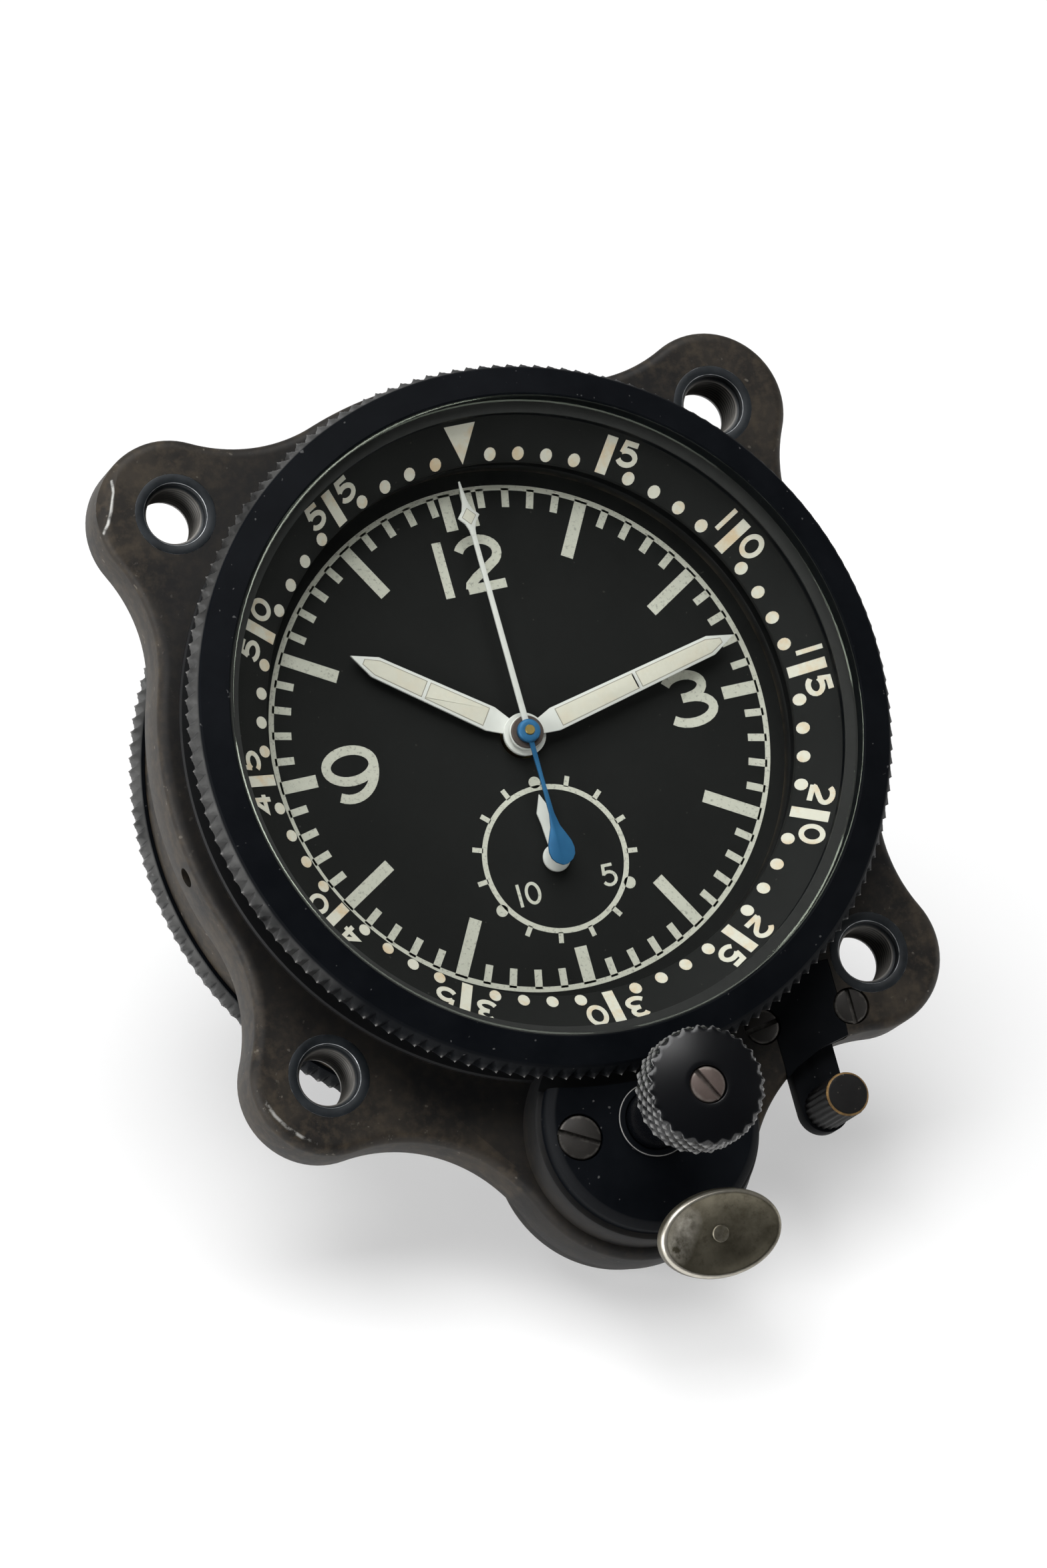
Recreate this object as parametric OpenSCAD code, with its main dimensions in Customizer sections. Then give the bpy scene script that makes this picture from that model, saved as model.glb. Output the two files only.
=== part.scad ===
// Aircraft panel clock: a chronograph with a turning bezel, a winding knob below the dial,
// a push piece for the stop hand and a slide that stops the balance.
// Every piece is drawn with the dial flat: x to 3 o'clock, y to 12 o'clock, z out of the dial.
// The origin is on the dial's axis, in the plane of the flange's front face.
// upright() then stands the clock as it hangs in a panel: dial to -Y, 12 o'clock to +Z.

/* [Mounting] */
// Distance between neighbouring mounting holes
hole_pitch = 47.2; // [46.8:0.1:48]
// Radius of the threaded bore in each insert
hole_r = 2.2; // [1.6:0.05:2.5]
// Wall of each threaded insert
insert_wall = 1.15; // [0.8:0.05:1.5]
// Radius of the ear round each hole
ear_r = 6.35; // [5.6:0.05:6.8]

/* [Flange] */
// Width of the flange's round waist outside the drum
flange_wall = 3; // [2.7:0.1:3.9]
// Thickness of the flange
flange_t = 5; // [4.7:0.1:6]
// Radius of the hollow between an ear and its neighbour
ear_blend = 13; // [11:0.5:14]
// Rounding of the flange's front edge
edge_round = 0.8; // [0.4:0.1:1.2]
// Height of the step under the bezel
shoulder_h = 0.5; // [0.3:0.1:1]
// Width of the step under the bezel
shoulder_w = 1.55; // [1:0.05:2.2]

/* [Case] */
// Inside radius of the case
bore_r = 26.3; // [26:0.05:26.5]
// Wall of the drum behind the flange
case_wall = 1.2; // [1:0.05:1.4]
// Inside radius of the lip that the dial sits against
lip_r = 22.4; // [22.3:0.05:23]
// Height of that lip in front of the flange's face
lip_top = 0.45; // [0.2:0.05:0.5]
// Wall of the collar that the bezel turns on
collar_wall = 0.95; // [0.8:0.05:1.1]
// Height of that collar
collar_h = 5; // [4.9:0.02:5.05]
// Wall of the rear cover's rim out to its tooth tips
cover_wall = 1; // [0.9:0.02:1.8]
// Thickness of the rear cover's floor
cover_t = 2.2; // [1.6:0.1:3]
// Length of the rear cover's rim
cover_rim = 3.2; // [2.8:0.1:4.5]
// Thickness of the rear gasket
gasket_t = 0.5; // [0.3:0.05:0.8]

/* [Bezel] */
// Wall of the bezel from its bore out to its tooth tips
bezel_wall = 2.32; // [2.1:0.02:2.8]
// Depth of the teeth on the bezel and the rear cover
tooth_depth = 0.64; // [0.4:0.02:0.8]
// Number of teeth round the bezel and the rear cover
tooth_count = 160; // [120:4:180]
// Height of the bezel's lower face
bezel_low = 3.5; // [3.3:0.05:3.6]
// Height of the tooth tips
bezel_peak = 5.4; // [5.2:0.05:5.6]
// Height of the bezel's front rim beside the glass
bezel_top = 7.6; // [7.4:0.05:7.8]
// How far the glass rests on the bezel's ledge
glass_lap = 1.02; // [0.9:0.02:1.1]
// Thickness of the glass
glass_t = 2; // [1.7:0.05:2.4]
// Bevel on the glass's front edge
glass_bevel = 0.5; // [0.3:0.05:0.7]
// Thickness of the seal under the glass
seal_t = 0.25; // [0.15:0.05:0.3]
// Radius of the chapter ring's inner edge
chapter_in_r = 22.2; // [22:0.05:22.3]
// Height of the chapter ring's inner edge
chapter_low = 2.7; // [2.5:0.05:2.9]
// Slope of the chapter ring
chapter_slope = 30; // [26:1:33]

/* [Dial and hands] */
// Depth of the dial behind the flange's face
dial_drop = 0.8; // [0.75:0.05:1]
// Thickness of the dial
dial_t = 0.6; // [0.4:0.05:0.8]
// Distance of the minute counter below the dial's centre
counter_drop = 10.35; // [10.2:0.05:10.8]
// Length of the hour hand
hour_len = 15.6; // [14:0.1:17]
// Length of the minute hand
minute_len = 20; // [18:0.1:21]
// Length of the stop hand
seconds_len = 21.4; // [19:0.1:21.6]
// Length of the stop hand's tail
tail_len = 11.3; // [9:0.1:13]
// Length of the minute counter's hand
counter_len = 5.4; // [4:0.1:6]
// Angle of the hour hand, clockwise from 12
hour_at = 306.5; // [0:0.5:359.5]
// Angle of the minute hand, clockwise from 12
minute_at = 77.5; // [0:0.5:359.5]
// Thickness of the hands
hand_t = 0.22; // [0.15:0.01:0.25]

/* [Winding] */
// Space between the bezel's clearance and the stem's bushing
bush_margin = 0.38; // [0.2:0.02:1.4]
// Radius of the lobe round the winding gear
lobe_r = 10.3; // [9.8:0.1:10.6]
// Length of the lobe behind the flange
lobe_back = 2; // [1.8:0.1:3]
// Radius of the boss under the housing plate
boss_r = 9.4; // [9.1:0.1:9.7]
// Height of that boss
boss_h = 3.4; // [3.2:0.1:4]
// Radius of the housing plate
plate_r = 8.9; // [8.6:0.05:9]
// Thickness of the housing plate
plate_t = 1.7; // [1.5:0.1:2.2]
// Radius of the winding stem
stem_r = 2.4; // [2:0.05:2.6]
// Width of the square on the stem
stem_square = 1.6; // [1.4:0.05:1.7]
// Length of the stem in front of the housing plate
stem_out = 10; // [8:0.1:12]
// Radius of the winding knob
knob_r = 4.9; // [4.4:0.05:5.4]
// Length of the winding knob
knob_h = 4.3; // [3.6:0.1:5]
// How far the knob pulls out to set the hands
set_pull = 1.5; // [1:0.1:1.8]

/* [Push piece] */
// Distance of the pad's centre below the winding axis
pad_below = 11; // [10.8:0.1:11.4]
// Height of the pad's face in front of the flange
pad_out = 13.2; // [12.4:0.1:14.5]
// Lean of the push piece away from the dial
push_lean = 14; // [13:0.5:15]
// Length of the pad across
pad_w = 10.3; // [9:0.1:11.5]
// Width of the pad up and down
pad_h = 7; // [6:0.1:7.4]
// Thickness of the pad
pad_t = 1.5; // [1.2:0.05:1.8]
// Radius of the push stem
push_r = 1; // [0.85:0.05:1.05]
// Travel of the push piece
push_travel = 2; // [1.5:0.1:2.2]

/* [Stop slide] */
// Distance of the slide to the right of the dial's centre
slide_x = 16.9; // [16.7:0.05:17.2]
// Distance of the finger pin below the dial's centre
slide_drop = 35; // [34.8:0.1:35.6]
// Width of the slide
slide_w = 4.05; // [3.7:0.05:4.2]
// Thickness of the slide
slide_t = 1.5; // [1.2:0.05:1.6]
// Thickness of the cover strip over the slide
strip_t = 1.5; // [1.3:0.05:1.6]
// Width of the cover strip
strip_w = 6.1; // [5.6:0.1:6.4]
// Radius of the finger pin
pin_r = 1.85; // [1.6:0.05:1.95]
// Length of the finger pin in front of the slide
pin_len = 5.6; // [4.6:0.1:6.6]

/* [Movement] */
// Space between the dial and the main plate
under_dial = 2.6; // [2.55:0.05:3]
// Thickness of the main plate
main_t = 1.6; // [1.4:0.1:2]
// Space between the main plate and the back plate
train_h = 8.8; // [8.7:0.1:10]
// Thickness of the back plate
back_t = 1.2; // [1:0.1:1.6]
// Space for the chronograph wheels behind the back plate
chrono_h = 2.7; // [2.65:0.05:3.2]
// Thickness of the chronograph bridge
bridge_t = 0.7; // [0.65:0.05:1]
// Distance of the mainspring barrel from the dial's centre
barrel_off = 14.6; // [14.55:0.05:14.7]
// Radius of the barrel's drum
drum_r = 8.2; // [7.8:0.05:8.3]

/* [Hidden] */
$fn = 96;

// Clearances
seat_gap = 0.02;
run_gap = 0.04;
part_gap = 0.25;
over = 0.1;

// Heights, from the dial back to the rear cover
dial_back = -dial_drop - dial_t;
main_front = dial_back - under_dial;
main_back = main_front - main_t;
back_front = main_back - train_h;
back_back = back_front - back_t;
bridge_front = back_back - chrono_h;
bridge_back = bridge_front - bridge_t;
rear_play = 0.2;
case_end = bridge_back - rear_play;
cover_floor = case_end - gasket_t;
cover_end = cover_floor - cover_t;

// Radii of the case and bezel
case_r = bore_r + case_wall;
collar_r = bore_r + collar_wall;
fit_r = bore_r - 0.1;
insert_r = hole_r + insert_wall;
bezel_bore = collar_r + 0.05;
bezel_tip_r = bezel_bore + bezel_wall;
flange_r = case_r + flange_wall;
shoulder_r = collar_r + shoulder_w;
cover_bore = case_r + 0.05;
cover_tip_r = cover_bore + cover_wall;
ledge_low = collar_h + 0.2;
ledge_t = 0.55;
ledge_r = bore_r - 0.9;
ledge_top = ledge_low + ledge_t;
glass_r = ledge_r + glass_lap;
glass_low = ledge_top + seal_t;
bezel_clear_r = bezel_tip_r + 0.55;
wire_r = 0.3;
wire_z = bezel_low + 0.9;
groove_h = 0.9;
lip_under = 0.3;

// Places in the dial's plane
bush_r = stem_r + 0.65;
winding_drop = bezel_clear_r + bush_r + bush_margin;
pad_drop = winding_drop + pad_below;
centre = [0, 0];
counter = [0, -counter_drop];
winding = [0, -winding_drop];
function polar(r, a) = r * [cos(a), sin(a)];
function heading(a, b) = atan2(b[1] - a[1], b[0] - a[0]);
// The point at ra from a and rb from b, to the left of the way from a to b, or to its right
function meet(a, ra, b, rb, side) =
    let (d = norm(b - a), u = (b - a) / d, along = (ra * ra - rb * rb + d * d) / (2 * d))
    a + along * u + side * sqrt(ra * ra - along * along) * [-u[1], u[0]];

// Flange outline: ears, waist and lobe joined by hollows that touch both neighbours
ears = [45, 135, 225, 315];
function ear(k) = polar(hole_pitch / sqrt(2), k);
function hollow(k, side) = meet(centre, flange_r + ear_blend, ear(k), ear_r + ear_blend, side);
function lobe_hollow(side) =
    meet(winding, lobe_r + ear_blend, ear(270 + side * 45), ear_r + ear_blend, -side);
function short_turn(a) = a > 180 ? a - 360 : a < -180 ? a + 360 : a;
// Points on a circle of radius r at c, from the side that faces p to the side that faces q
function arc(c, r, p, q, n) =
    let (a = heading(c, p), w = short_turn((heading(c, q) - a) % 360))
    [for (i = [0 : n]) c + polar(r, a + w * i / n)];
function ear_run(k, inset) = concat(
    arc(hollow(k, -1), ear_blend + inset, centre, ear(k), 5),
    arc(ear(k), ear_r - inset, hollow(k, -1), hollow(k, 1), 12),
    arc(hollow(k, 1), ear_blend + inset, ear(k), centre, 5));
function flange_points(inset) = concat(
    ear_run(45, inset),
    arc(centre, flange_r - inset, hollow(45, 1), hollow(135, -1), 5),
    ear_run(135, inset),
    arc(centre, flange_r - inset, hollow(135, 1), hollow(225, -1), 5),
    arc(hollow(225, -1), ear_blend + inset, centre, ear(225), 5),
    arc(ear(225), ear_r - inset, hollow(225, -1), lobe_hollow(-1), 12),
    arc(lobe_hollow(-1), ear_blend + inset, ear(225), winding, 6),
    arc(winding, lobe_r - inset, lobe_hollow(-1), lobe_hollow(1), 14),
    arc(lobe_hollow(1), ear_blend + inset, winding, ear(315), 6),
    arc(ear(315), ear_r - inset, lobe_hollow(1), hollow(315, 1), 12),
    arc(hollow(315, 1), ear_blend + inset, ear(315), centre, 5),
    arc(centre, flange_r - inset, hollow(315, 1), hollow(45, -1), 5));

// Toothed wheels: tooth sizes in millimetres of diameter for each tooth
barrel_at = polar(barrel_off, 225);
great_n = 84;
great_m = 0.22;
inter_pinion_n = 12;
inter_n = 60;
inter_m = 0.2;
centre_pinion_n = 12;
centre_n = 64;
centre_m = 0.18;
third_pinion_n = 8;
third_n = 60;
third_m = 0.16;
fourth_pinion_n = 8;
fourth_n = 70;
fourth_m = 0.12;
escape_pinion_n = 7;
escape_n = 15;
escape_r = 3;
inter_at = meet(centre, inter_m * (inter_n + centre_pinion_n) / 2,
    barrel_at, great_m * (great_n + inter_pinion_n) / 2, -1);
third_at = polar(centre_m * (centre_n + third_pinion_n) / 2, 100);
fourth_at = third_at + polar(third_m * (third_n + fourth_pinion_n) / 2, 50);
escape_at = fourth_at + polar(fourth_m * (fourth_n + escape_pinion_n) / 2, -20);
lever_way = -45;
pallet_at = escape_at + polar(escape_r + 0.9, lever_way);
balance_r = 5;
balance_at = pallet_at + polar(balance_r + 0.8, lever_way);

// Motion work under the dial
cannon_n = 12;
minute_n = 36;
minute_m = 0.2;
minute_pinion_n = 10;
hour_n = 40;
minute_off = minute_m * (cannon_n + minute_n) / 2;
hour_m = 2 * minute_off / (minute_pinion_n + hour_n);
minute_way = 60;
minute_wheel_at = polar(minute_off, minute_way);

// Winding wheels in a straight row from the winding axis to the barrel
pinion_n = 16;
crown_n = 22;
transfer_n = 28;
ratchet_n = 56;
winding_m = 2 * norm(barrel_at - winding) / (pinion_n + 2 * crown_n + 2 * transfer_n + ratchet_n);
winding_way = heading(winding, barrel_at);
crown_at = winding + polar(winding_m * (pinion_n + crown_n) / 2, winding_way);
transfer_at = crown_at + polar(winding_m * (crown_n + transfer_n) / 2, winding_way);
winding_z = main_front + 0.6;
winding_t = 1.2;

// Chronograph wheels behind the back plate
chrono_n = 10;
idler_n = 30;
idler_pinion_n = 10;
counter_n = 50;
chrono_m = 0.22;
idler_at = meet(centre, chrono_m * (chrono_n + idler_n) / 2,
    counter, chrono_m * (idler_pinion_n + counter_n) / 2, 1);
idler_z = back_back - 1.4;
counter_z = back_back - 2.3;
bridge_feet = [[7.8, -3], [-6.5, -2]];

// Teeth: height above and below the rolling circle, and half widths as a share of the spacing
tooth_up = 0.7;
tooth_down = 1.15;
tip_share = 0.1;
root_share = 0.26;
function tip_of(m, n) = m * (n / 2 + tooth_up);
function root_of(m, n) = m * (n / 2 - tooth_down);
// The angle of a wheel's tooth that meshes with a wheel whose tooth stands at angle p1
function mesh(way, n1, p1, n2) = way + 180 + 180 / n2 - (p1 - way) * n1 / n2;

module upright() { rotate([90, 0, 0]) children(); }

module tube(r_out, r_in, low, high) {
    translate([0, 0, low]) difference() {
        cylinder(r = r_out, h = high - low);
        translate([0, 0, -over]) cylinder(r = r_in, h = high - low + 2 * over);
    }
}

module rod(r, low, high) { translate([0, 0, low]) cylinder(r = r, h = high - low); }

module teeth(m, n, phase) {
    step = 360 / n;
    polygon([for (i = [0 : n - 1], s = [-1, 1], h = [0, 1])
        let (outer = s < 0 ? h : 1 - h)
        polar(outer ? tip_of(m, n) : root_of(m, n),
            phase + step * (i + s * (outer ? tip_share : root_share)))]);
}

module wheel(m, n, phase, low, t) { translate([0, 0, low]) linear_extrude(t) teeth(m, n, phase); }

// An arbor between the plates, with a thin pivot in each
module arbor(r, pivot) {
    shoulder = 0.2;
    rod(r, back_front + shoulder, main_back - shoulder);
    rod(pivot, back_back + shoulder, main_front - shoulder);
}

// Screw along z with its slot in the head's front
module screw(head_r, head_t, shank_r, shank_len, slot_at) {
    slot_w = head_r * 0.26;
    difference() {
        union() {
            rod(head_r, -head_t, 0);
            rod(shank_r, -head_t - shank_len, -head_t + over);
        }
        rotate(slot_at) translate([-2 * head_r, -slot_w / 2, -head_t * 0.45])
            cube([4 * head_r, slot_w, head_t]);
    }
}

module tooth_prism(tip, depth, low, high) {
    translate([0, 0, low]) linear_extrude(high - low)
        polygon([for (i = [0 : 2 * tooth_count - 1])
            polar(i % 2 ? tip - depth : tip, i * 180 / tooth_count)]);
}

// Flange plate with a stepped round on its front edge
module flange_plate() {
    steps = 3;
    translate([0, 0, -flange_t]) linear_extrude(flange_t - edge_round) polygon(flange_points(0));
    for (i = [1 : steps]) {
        a = 90 * i / steps;
        low = 90 * (i - 1) / steps;
        translate([0, 0, -edge_round - over])
            linear_extrude(edge_round * sin(a) + over)
            polygon(flange_points(edge_round * (1 - cos((a + low) / 2))));
    }
}

// Push piece: its own axis, with zero where that axis crosses the flange's face
push_foot = -pad_drop + pad_out * tan(push_lean);
guide_r = push_r + 0.6;
guide_low = -1.5;
guide_high = boss_h - 0.2;
chamber_low = -6.1;
stop_t = 0.7;
module push_axis() { translate([0, push_foot, 0]) rotate([push_lean, 0, 0]) children(); }
pad_back = pad_out / cos(push_lean) - pad_t;

// Stop slide: heights and the outline of the cover strip
strip_low = -strip_t;
slide_low = strip_low - slide_t - run_gap;
slide_travel = 2;
strip_wall = 0.89;
strip_in = -sqrt(pow(bore_r + strip_wall, 2) - pow(slide_x - strip_w / 2, 2));
slide_in = strip_in - 1.2;
cover_screw_drop = 4.17 - strip_in;
cover_screw_off = 3.95;
cover_head_r = 1.45;
cover_shank_r = 0.75;
cover_head_t = 0.8;
function cover_screw(s) = [slide_x + s * cover_screw_off, -cover_screw_drop];

plate_screw_off = 6.4;
plate_head_r = 1.8;
plate_head_t = 0.65;
plate_shank_r = 0.9;
plate_top = boss_h + plate_t;
pinion_sleeve_r = stem_square * 0.95;
pinion_top = boss_h - 1.6;
pocket_r = tip_of(winding_m, pinion_n) + part_gap;
pinion_foot = -flange_t - 0.6;
pinion_floor = main_front - 0.1;

module case_body() {
    color([0.2, 0.18, 0.16]) upright() difference() {
        union() {
            flange_plate();
            rod(case_r, case_end, -flange_t + over);
            rod(shoulder_r, -over, shoulder_h);
            rod(collar_r, -over, collar_h);
            translate(winding) rod(lobe_r - 0.3, -flange_t - lobe_back, -flange_t + over);
            translate(winding) rod(boss_r, -edge_round - over, boss_h);
        }
        rod(bore_r, case_end - over, -dial_drop);
        rod(lip_r, -2 * dial_drop, collar_h);
        rod(bore_r, lip_top, collar_h + over);
        tube(collar_r + over, collar_r - 0.4, wire_z - groove_h / 2, wire_z + groove_h / 2);
        tube(bezel_clear_r, collar_r, bezel_low - part_gap, boss_h + over);
        for (k = ears) translate(ear(k)) rod(insert_r + seat_gap, -flange_t - over, over);
        winding_pockets();
        push_axis() rod(guide_r + seat_gap, chamber_low, boss_h + 2);
        slide_channel();
        set_screw_place() rod(set_screw_r + seat_gap, bore_r + set_screw_wall - flange_r, over);
    }
}

// Hollows for the winding pinion, the crown wheel and the plate's screws
module winding_pockets() {
    translate(winding) {
        rod(pocket_r, pinion_floor, boss_h + over);
        rod(pinion_sleeve_r + run_gap, pinion_foot, 0);
        for (s = [-1, 1]) translate([s * plate_screw_off, 0])
            rod(plate_shank_r + seat_gap, boss_h - 3.2, boss_h + over);
    }
    translate(crown_at) {
        rod(tip_of(winding_m, crown_n) + part_gap, pinion_floor, dial_back);
        rod(stud_r + seat_gap, main_front - stud_deep, 0 - 2);
    }
    translate(transfer_at)
        rod(tip_of(winding_m, transfer_n) + part_gap, pinion_floor, dial_back);
}

// Channel for the slide and its cover strip, open at the flange's lower edge
module slide_channel() {
    open_end = -slide_drop;
    translate([slide_x - strip_w / 2 - seat_gap, open_end, strip_low])
        cube([strip_w + 2 * seat_gap, strip_in - open_end + seat_gap, strip_t + over]);
    deep_end = slide_in + slide_travel + part_gap;
    translate([slide_x - slide_w / 2 - run_gap, open_end, slide_low - run_gap])
        cube([slide_w + 2 * run_gap, deep_end - open_end, slide_t + 2 * run_gap + over]);
    for (s = [-1, 1]) translate(cover_screw(s)) {
        rod(cover_head_r + 0.1, -cover_head_t, over);
        rod(cover_shank_r + seat_gap, -cover_head_t - 3, over);
    }
}

module threaded_inserts() {
    chamfer = 0.45;
    color([0.12, 0.13, 0.16]) upright() for (k = ears) translate(ear(k)) difference() {
        rod(insert_r, -flange_t, 0);
        rod(hole_r, -flange_t - over, over);
        translate([0, 0, -chamfer]) cylinder(r1 = hole_r, r2 = hole_r + chamfer + over, h = chamfer + over);
    }
}

// Grub screw in the flange's left side
set_screw_r = 0.8;
set_screw_t = 1.2;
set_screw_sunk = 0.7;
set_screw_wall = 0.2;
module set_screw_place() {
    rotate(189.7) translate([flange_r, 0, -flange_t / 2]) rotate([0, 90, 0]) children();
}

module set_screw() {
    shank_len = flange_r - bore_r - 2 * set_screw_wall - set_screw_sunk - set_screw_t;
    color([0.3, 0.3, 0.3]) upright() set_screw_place()
        translate([0, 0, -set_screw_sunk]) screw(set_screw_r, set_screw_t, set_screw_r, shank_len, 0);
}

module rear_cover() {
    rim_r = cover_bore;
    peak = cover_floor + cover_rim / 2;
    slack = tooth_depth + 0.1;
    spanner_r = 1.2;
    color([0.22, 0.21, 0.2]) upright() difference() {
        intersection() {
            tooth_prism(cover_tip_r, tooth_depth, cover_end - over, cover_floor + cover_rim + over);
            rotate_extrude() polygon([
                [0, cover_end], [cover_tip_r - 2.6, cover_end], [cover_tip_r - 1.4, cover_floor - cover_t / 2],
                [cover_tip_r - slack, cover_floor],
                [cover_tip_r + 0.02, peak], [cover_tip_r - slack, cover_floor + cover_rim],
                [rim_r, cover_floor + cover_rim], [rim_r, cover_floor], [0, cover_floor]]);
        }
        for (s = [-1, 1]) translate([s * cover_tip_r * 0.65, 0]) rod(spanner_r, cover_end - over, cover_end + 1);
    }
}

module rear_gasket() {
    color([0.08, 0.08, 0.08]) upright() tube(case_r, fit_r - 0.8, cover_floor, case_end);
}

module bezel() {
    slack = tooth_depth + 0.1;
    face_r = bezel_tip_r - slack;
    tooth_run = bezel_peak - bezel_low - 0.3;
    color([0.1, 0.11, 0.13]) upright() intersection() {
        tooth_prism(bezel_tip_r, tooth_depth, bezel_low - over, bezel_top + over);
        rotate_extrude() polygon([
            [bezel_bore, bezel_low], [face_r - 0.3, bezel_low], [face_r, bezel_low + 0.3],
            [bezel_tip_r + 0.02, bezel_peak], [face_r, bezel_peak + tooth_run],
            [glass_r + seat_gap + 0.1, bezel_top], [glass_r + seat_gap, bezel_top - 0.1],
            [glass_r + seat_gap, ledge_top],
            [ledge_r, ledge_top], [ledge_r, ledge_low], [bezel_bore, ledge_low],
            [bezel_bore, wire_z + groove_h / 2], [bezel_bore + 0.4, wire_z + groove_h / 2],
            [bezel_bore + 0.4, wire_z - groove_h / 2], [bezel_bore, wire_z - groove_h / 2]]);
    }
}

// Split wire in the collar's groove, which keeps the bezel on
module bezel_spring() {
    split = 20;
    color([0.6, 0.6, 0.6]) upright() rotate(90 + split / 2)
        rotate_extrude(angle = 360 - split) translate([collar_r - 0.05, wire_z]) circle(r = wire_r, $fn = 24);
}

module chapter_ring() {
    wall_r = bore_r - part_gap;
    inner = wall_r - 0.5;
    rise = (inner - chapter_in_r) * tan(chapter_slope);
    edge = 0.45;
    color([0.07, 0.07, 0.07]) upright() rotate_extrude() polygon([
        [chapter_in_r, chapter_low - edge], [chapter_in_r, chapter_low],
        [inner, chapter_low + rise], [inner, ledge_low], [wall_r, ledge_low],
        [wall_r, chapter_low + rise - edge]]);
}

module glass() {
    color([0.8, 0.85, 0.85, 0.35]) upright() rotate_extrude() polygon([
        [0, glass_low], [glass_r, glass_low], [glass_r, glass_low + glass_t - glass_bevel],
        [glass_r - glass_bevel, glass_low + glass_t], [0, glass_low + glass_t]]);
}

module glass_seal() {
    color([0.15, 0.15, 0.12]) upright() tube(glass_r, ledge_r, ledge_top, glass_low);
}

hour_pipe_r = 1.5;
cannon_pipe_r = 1;
centre_tube_r = 0.7;
chrono_r = 0.3;
counter_r = 0.35;
hour_hub_wall = 0.28;
hour_wide = 2.1;
minute_hub_wall = 0.42;
minute_wide = 2;
hand_tip = 2.2;
hand_neck = 1.3;
hour_z = -0.12;
minute_z = 0.46;
seconds_z = 1.06;
counter_hand_z = -dial_drop + 0.16;

module dial() {
    color([0.06, 0.06, 0.06]) upright() difference() {
        rod(fit_r, dial_back, -dial_drop);
        rod(hour_pipe_r + 0.3, dial_back - over, 0);
        translate(counter) rod(counter_r + 0.3, dial_back - over, 0);
    }
}

module dial_spacer() {
    color([0.5, 0.5, 0.5]) upright() difference() {
        tube(fit_r, fit_r - 1.8, main_front, dial_back);
        translate(crown_at) rod(tip_of(winding_m, crown_n) + part_gap, main_front - over, dial_back + over);
        translate(transfer_at) rod(tip_of(winding_m, transfer_n) + part_gap, main_front - over, dial_back + over);
    }
}

// Pencil hand that points to 12: a ring for the hub, a waist, a long body and a pointed tip
module pencil_hand(len, hub_r, bore, wide, z) {
    tip = hand_tip;
    neck = hub_r + hand_neck;
    translate([0, 0, z]) linear_extrude(hand_t) difference() {
        union() {
            circle(hub_r);
            polygon([[-wide * 0.3, 0], [-wide / 2, neck], [-wide * 0.42, len - tip], [0, len],
                [wide * 0.42, len - tip], [wide / 2, neck], [wide * 0.3, 0]]);
        }
        circle(bore);
    }
}

module hour_hand() {
    color([0.85, 0.85, 0.8]) upright() rotate(-hour_at)
        pencil_hand(hour_len, hour_pipe_r + hour_hub_wall, hour_pipe_r, hour_wide, hour_z);
}

module minute_hand() {
    color([0.85, 0.85, 0.8]) upright() rotate(-minute_at)
        pencil_hand(minute_len, cannon_pipe_r + minute_hub_wall, cannon_pipe_r, minute_wide, minute_z);
}

// Needle with a diamond near its tip and a drop on its tail
module chrono_seconds_hand() {
    diamond = seconds_len - 3.1;
    diamond_w = 0.93;
    drop_r = 1.1;
    color([0.2, 0.4, 0.6]) upright() translate([0, 0, seconds_z]) linear_extrude(hand_t) difference() {
        union() {
            circle(0.95);
            polygon([[-0.25, 0], [-0.2, diamond - 1.6], [-diamond_w / 2, diamond - 0.6], [-diamond_w, diamond],
                [-diamond_w / 2, diamond + 0.6], [-0.22, diamond + 1.3], [0, seconds_len], [0.22, diamond + 1.3],
                [diamond_w / 2, diamond + 0.6], [diamond_w, diamond], [diamond_w / 2, diamond - 0.6],
                [0.2, diamond - 1.6], [0.25, 0]]);
            polygon([[-0.22, 0], [0.22, 0], [0.3, -tail_len * 0.62], [drop_r * 0.95, -tail_len + drop_r * 1.3],
                [-drop_r * 0.95, -tail_len + drop_r * 1.3], [-0.3, -tail_len * 0.62]]);
            translate([0, -tail_len + drop_r]) circle(drop_r);
        }
        circle(chrono_r);
    }
}

module chrono_minute_hand() {
    hub_r = 1.15;
    color([0.85, 0.85, 0.8]) upright() translate([0, -counter_drop, counter_hand_z])
        linear_extrude(hand_t) difference() {
            union() {
                circle(hub_r);
                polygon([[-0.35, 0], [-0.5, counter_len * 0.55], [-0.62, counter_len * 0.72], [0, counter_len],
                    [0.62, counter_len * 0.72], [0.5, counter_len * 0.55], [0.35, 0]]);
            }
            circle(counter_r);
        }
}

module housing_plate() {
    bevel = 0.5;
    color([0.07, 0.08, 0.1]) upright() difference() {
        translate(winding) rotate_extrude() polygon([[0, boss_h], [plate_r, boss_h], [plate_r, plate_top - bevel],
            [plate_r - bevel, plate_top], [0, plate_top]]);
        rod(bezel_clear_r, boss_h - over, plate_top + over);
        translate(winding) {
            rod(bush_r + seat_gap, boss_h - over, plate_top + over);
            for (s = [-1, 1]) translate([s * plate_screw_off, 0]) {
                rod(plate_shank_r + seat_gap, boss_h - over, plate_top + over);
                rod(plate_head_r + 0.12, plate_top - plate_head_t - 0.1, plate_top + over);
            }
        }
        push_axis() rod(push_r + part_gap, 0, 2 * plate_top);
    }
}

module plate_screws() {
    shank_len = plate_t + 1;
    color([0.25, 0.24, 0.22]) upright() translate(winding)
        for (s = [-1, 1]) translate([s * plate_screw_off, 0, plate_top - 0.1])
            screw(plate_head_r, plate_head_t, plate_shank_r, shank_len, -28);
}

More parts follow.
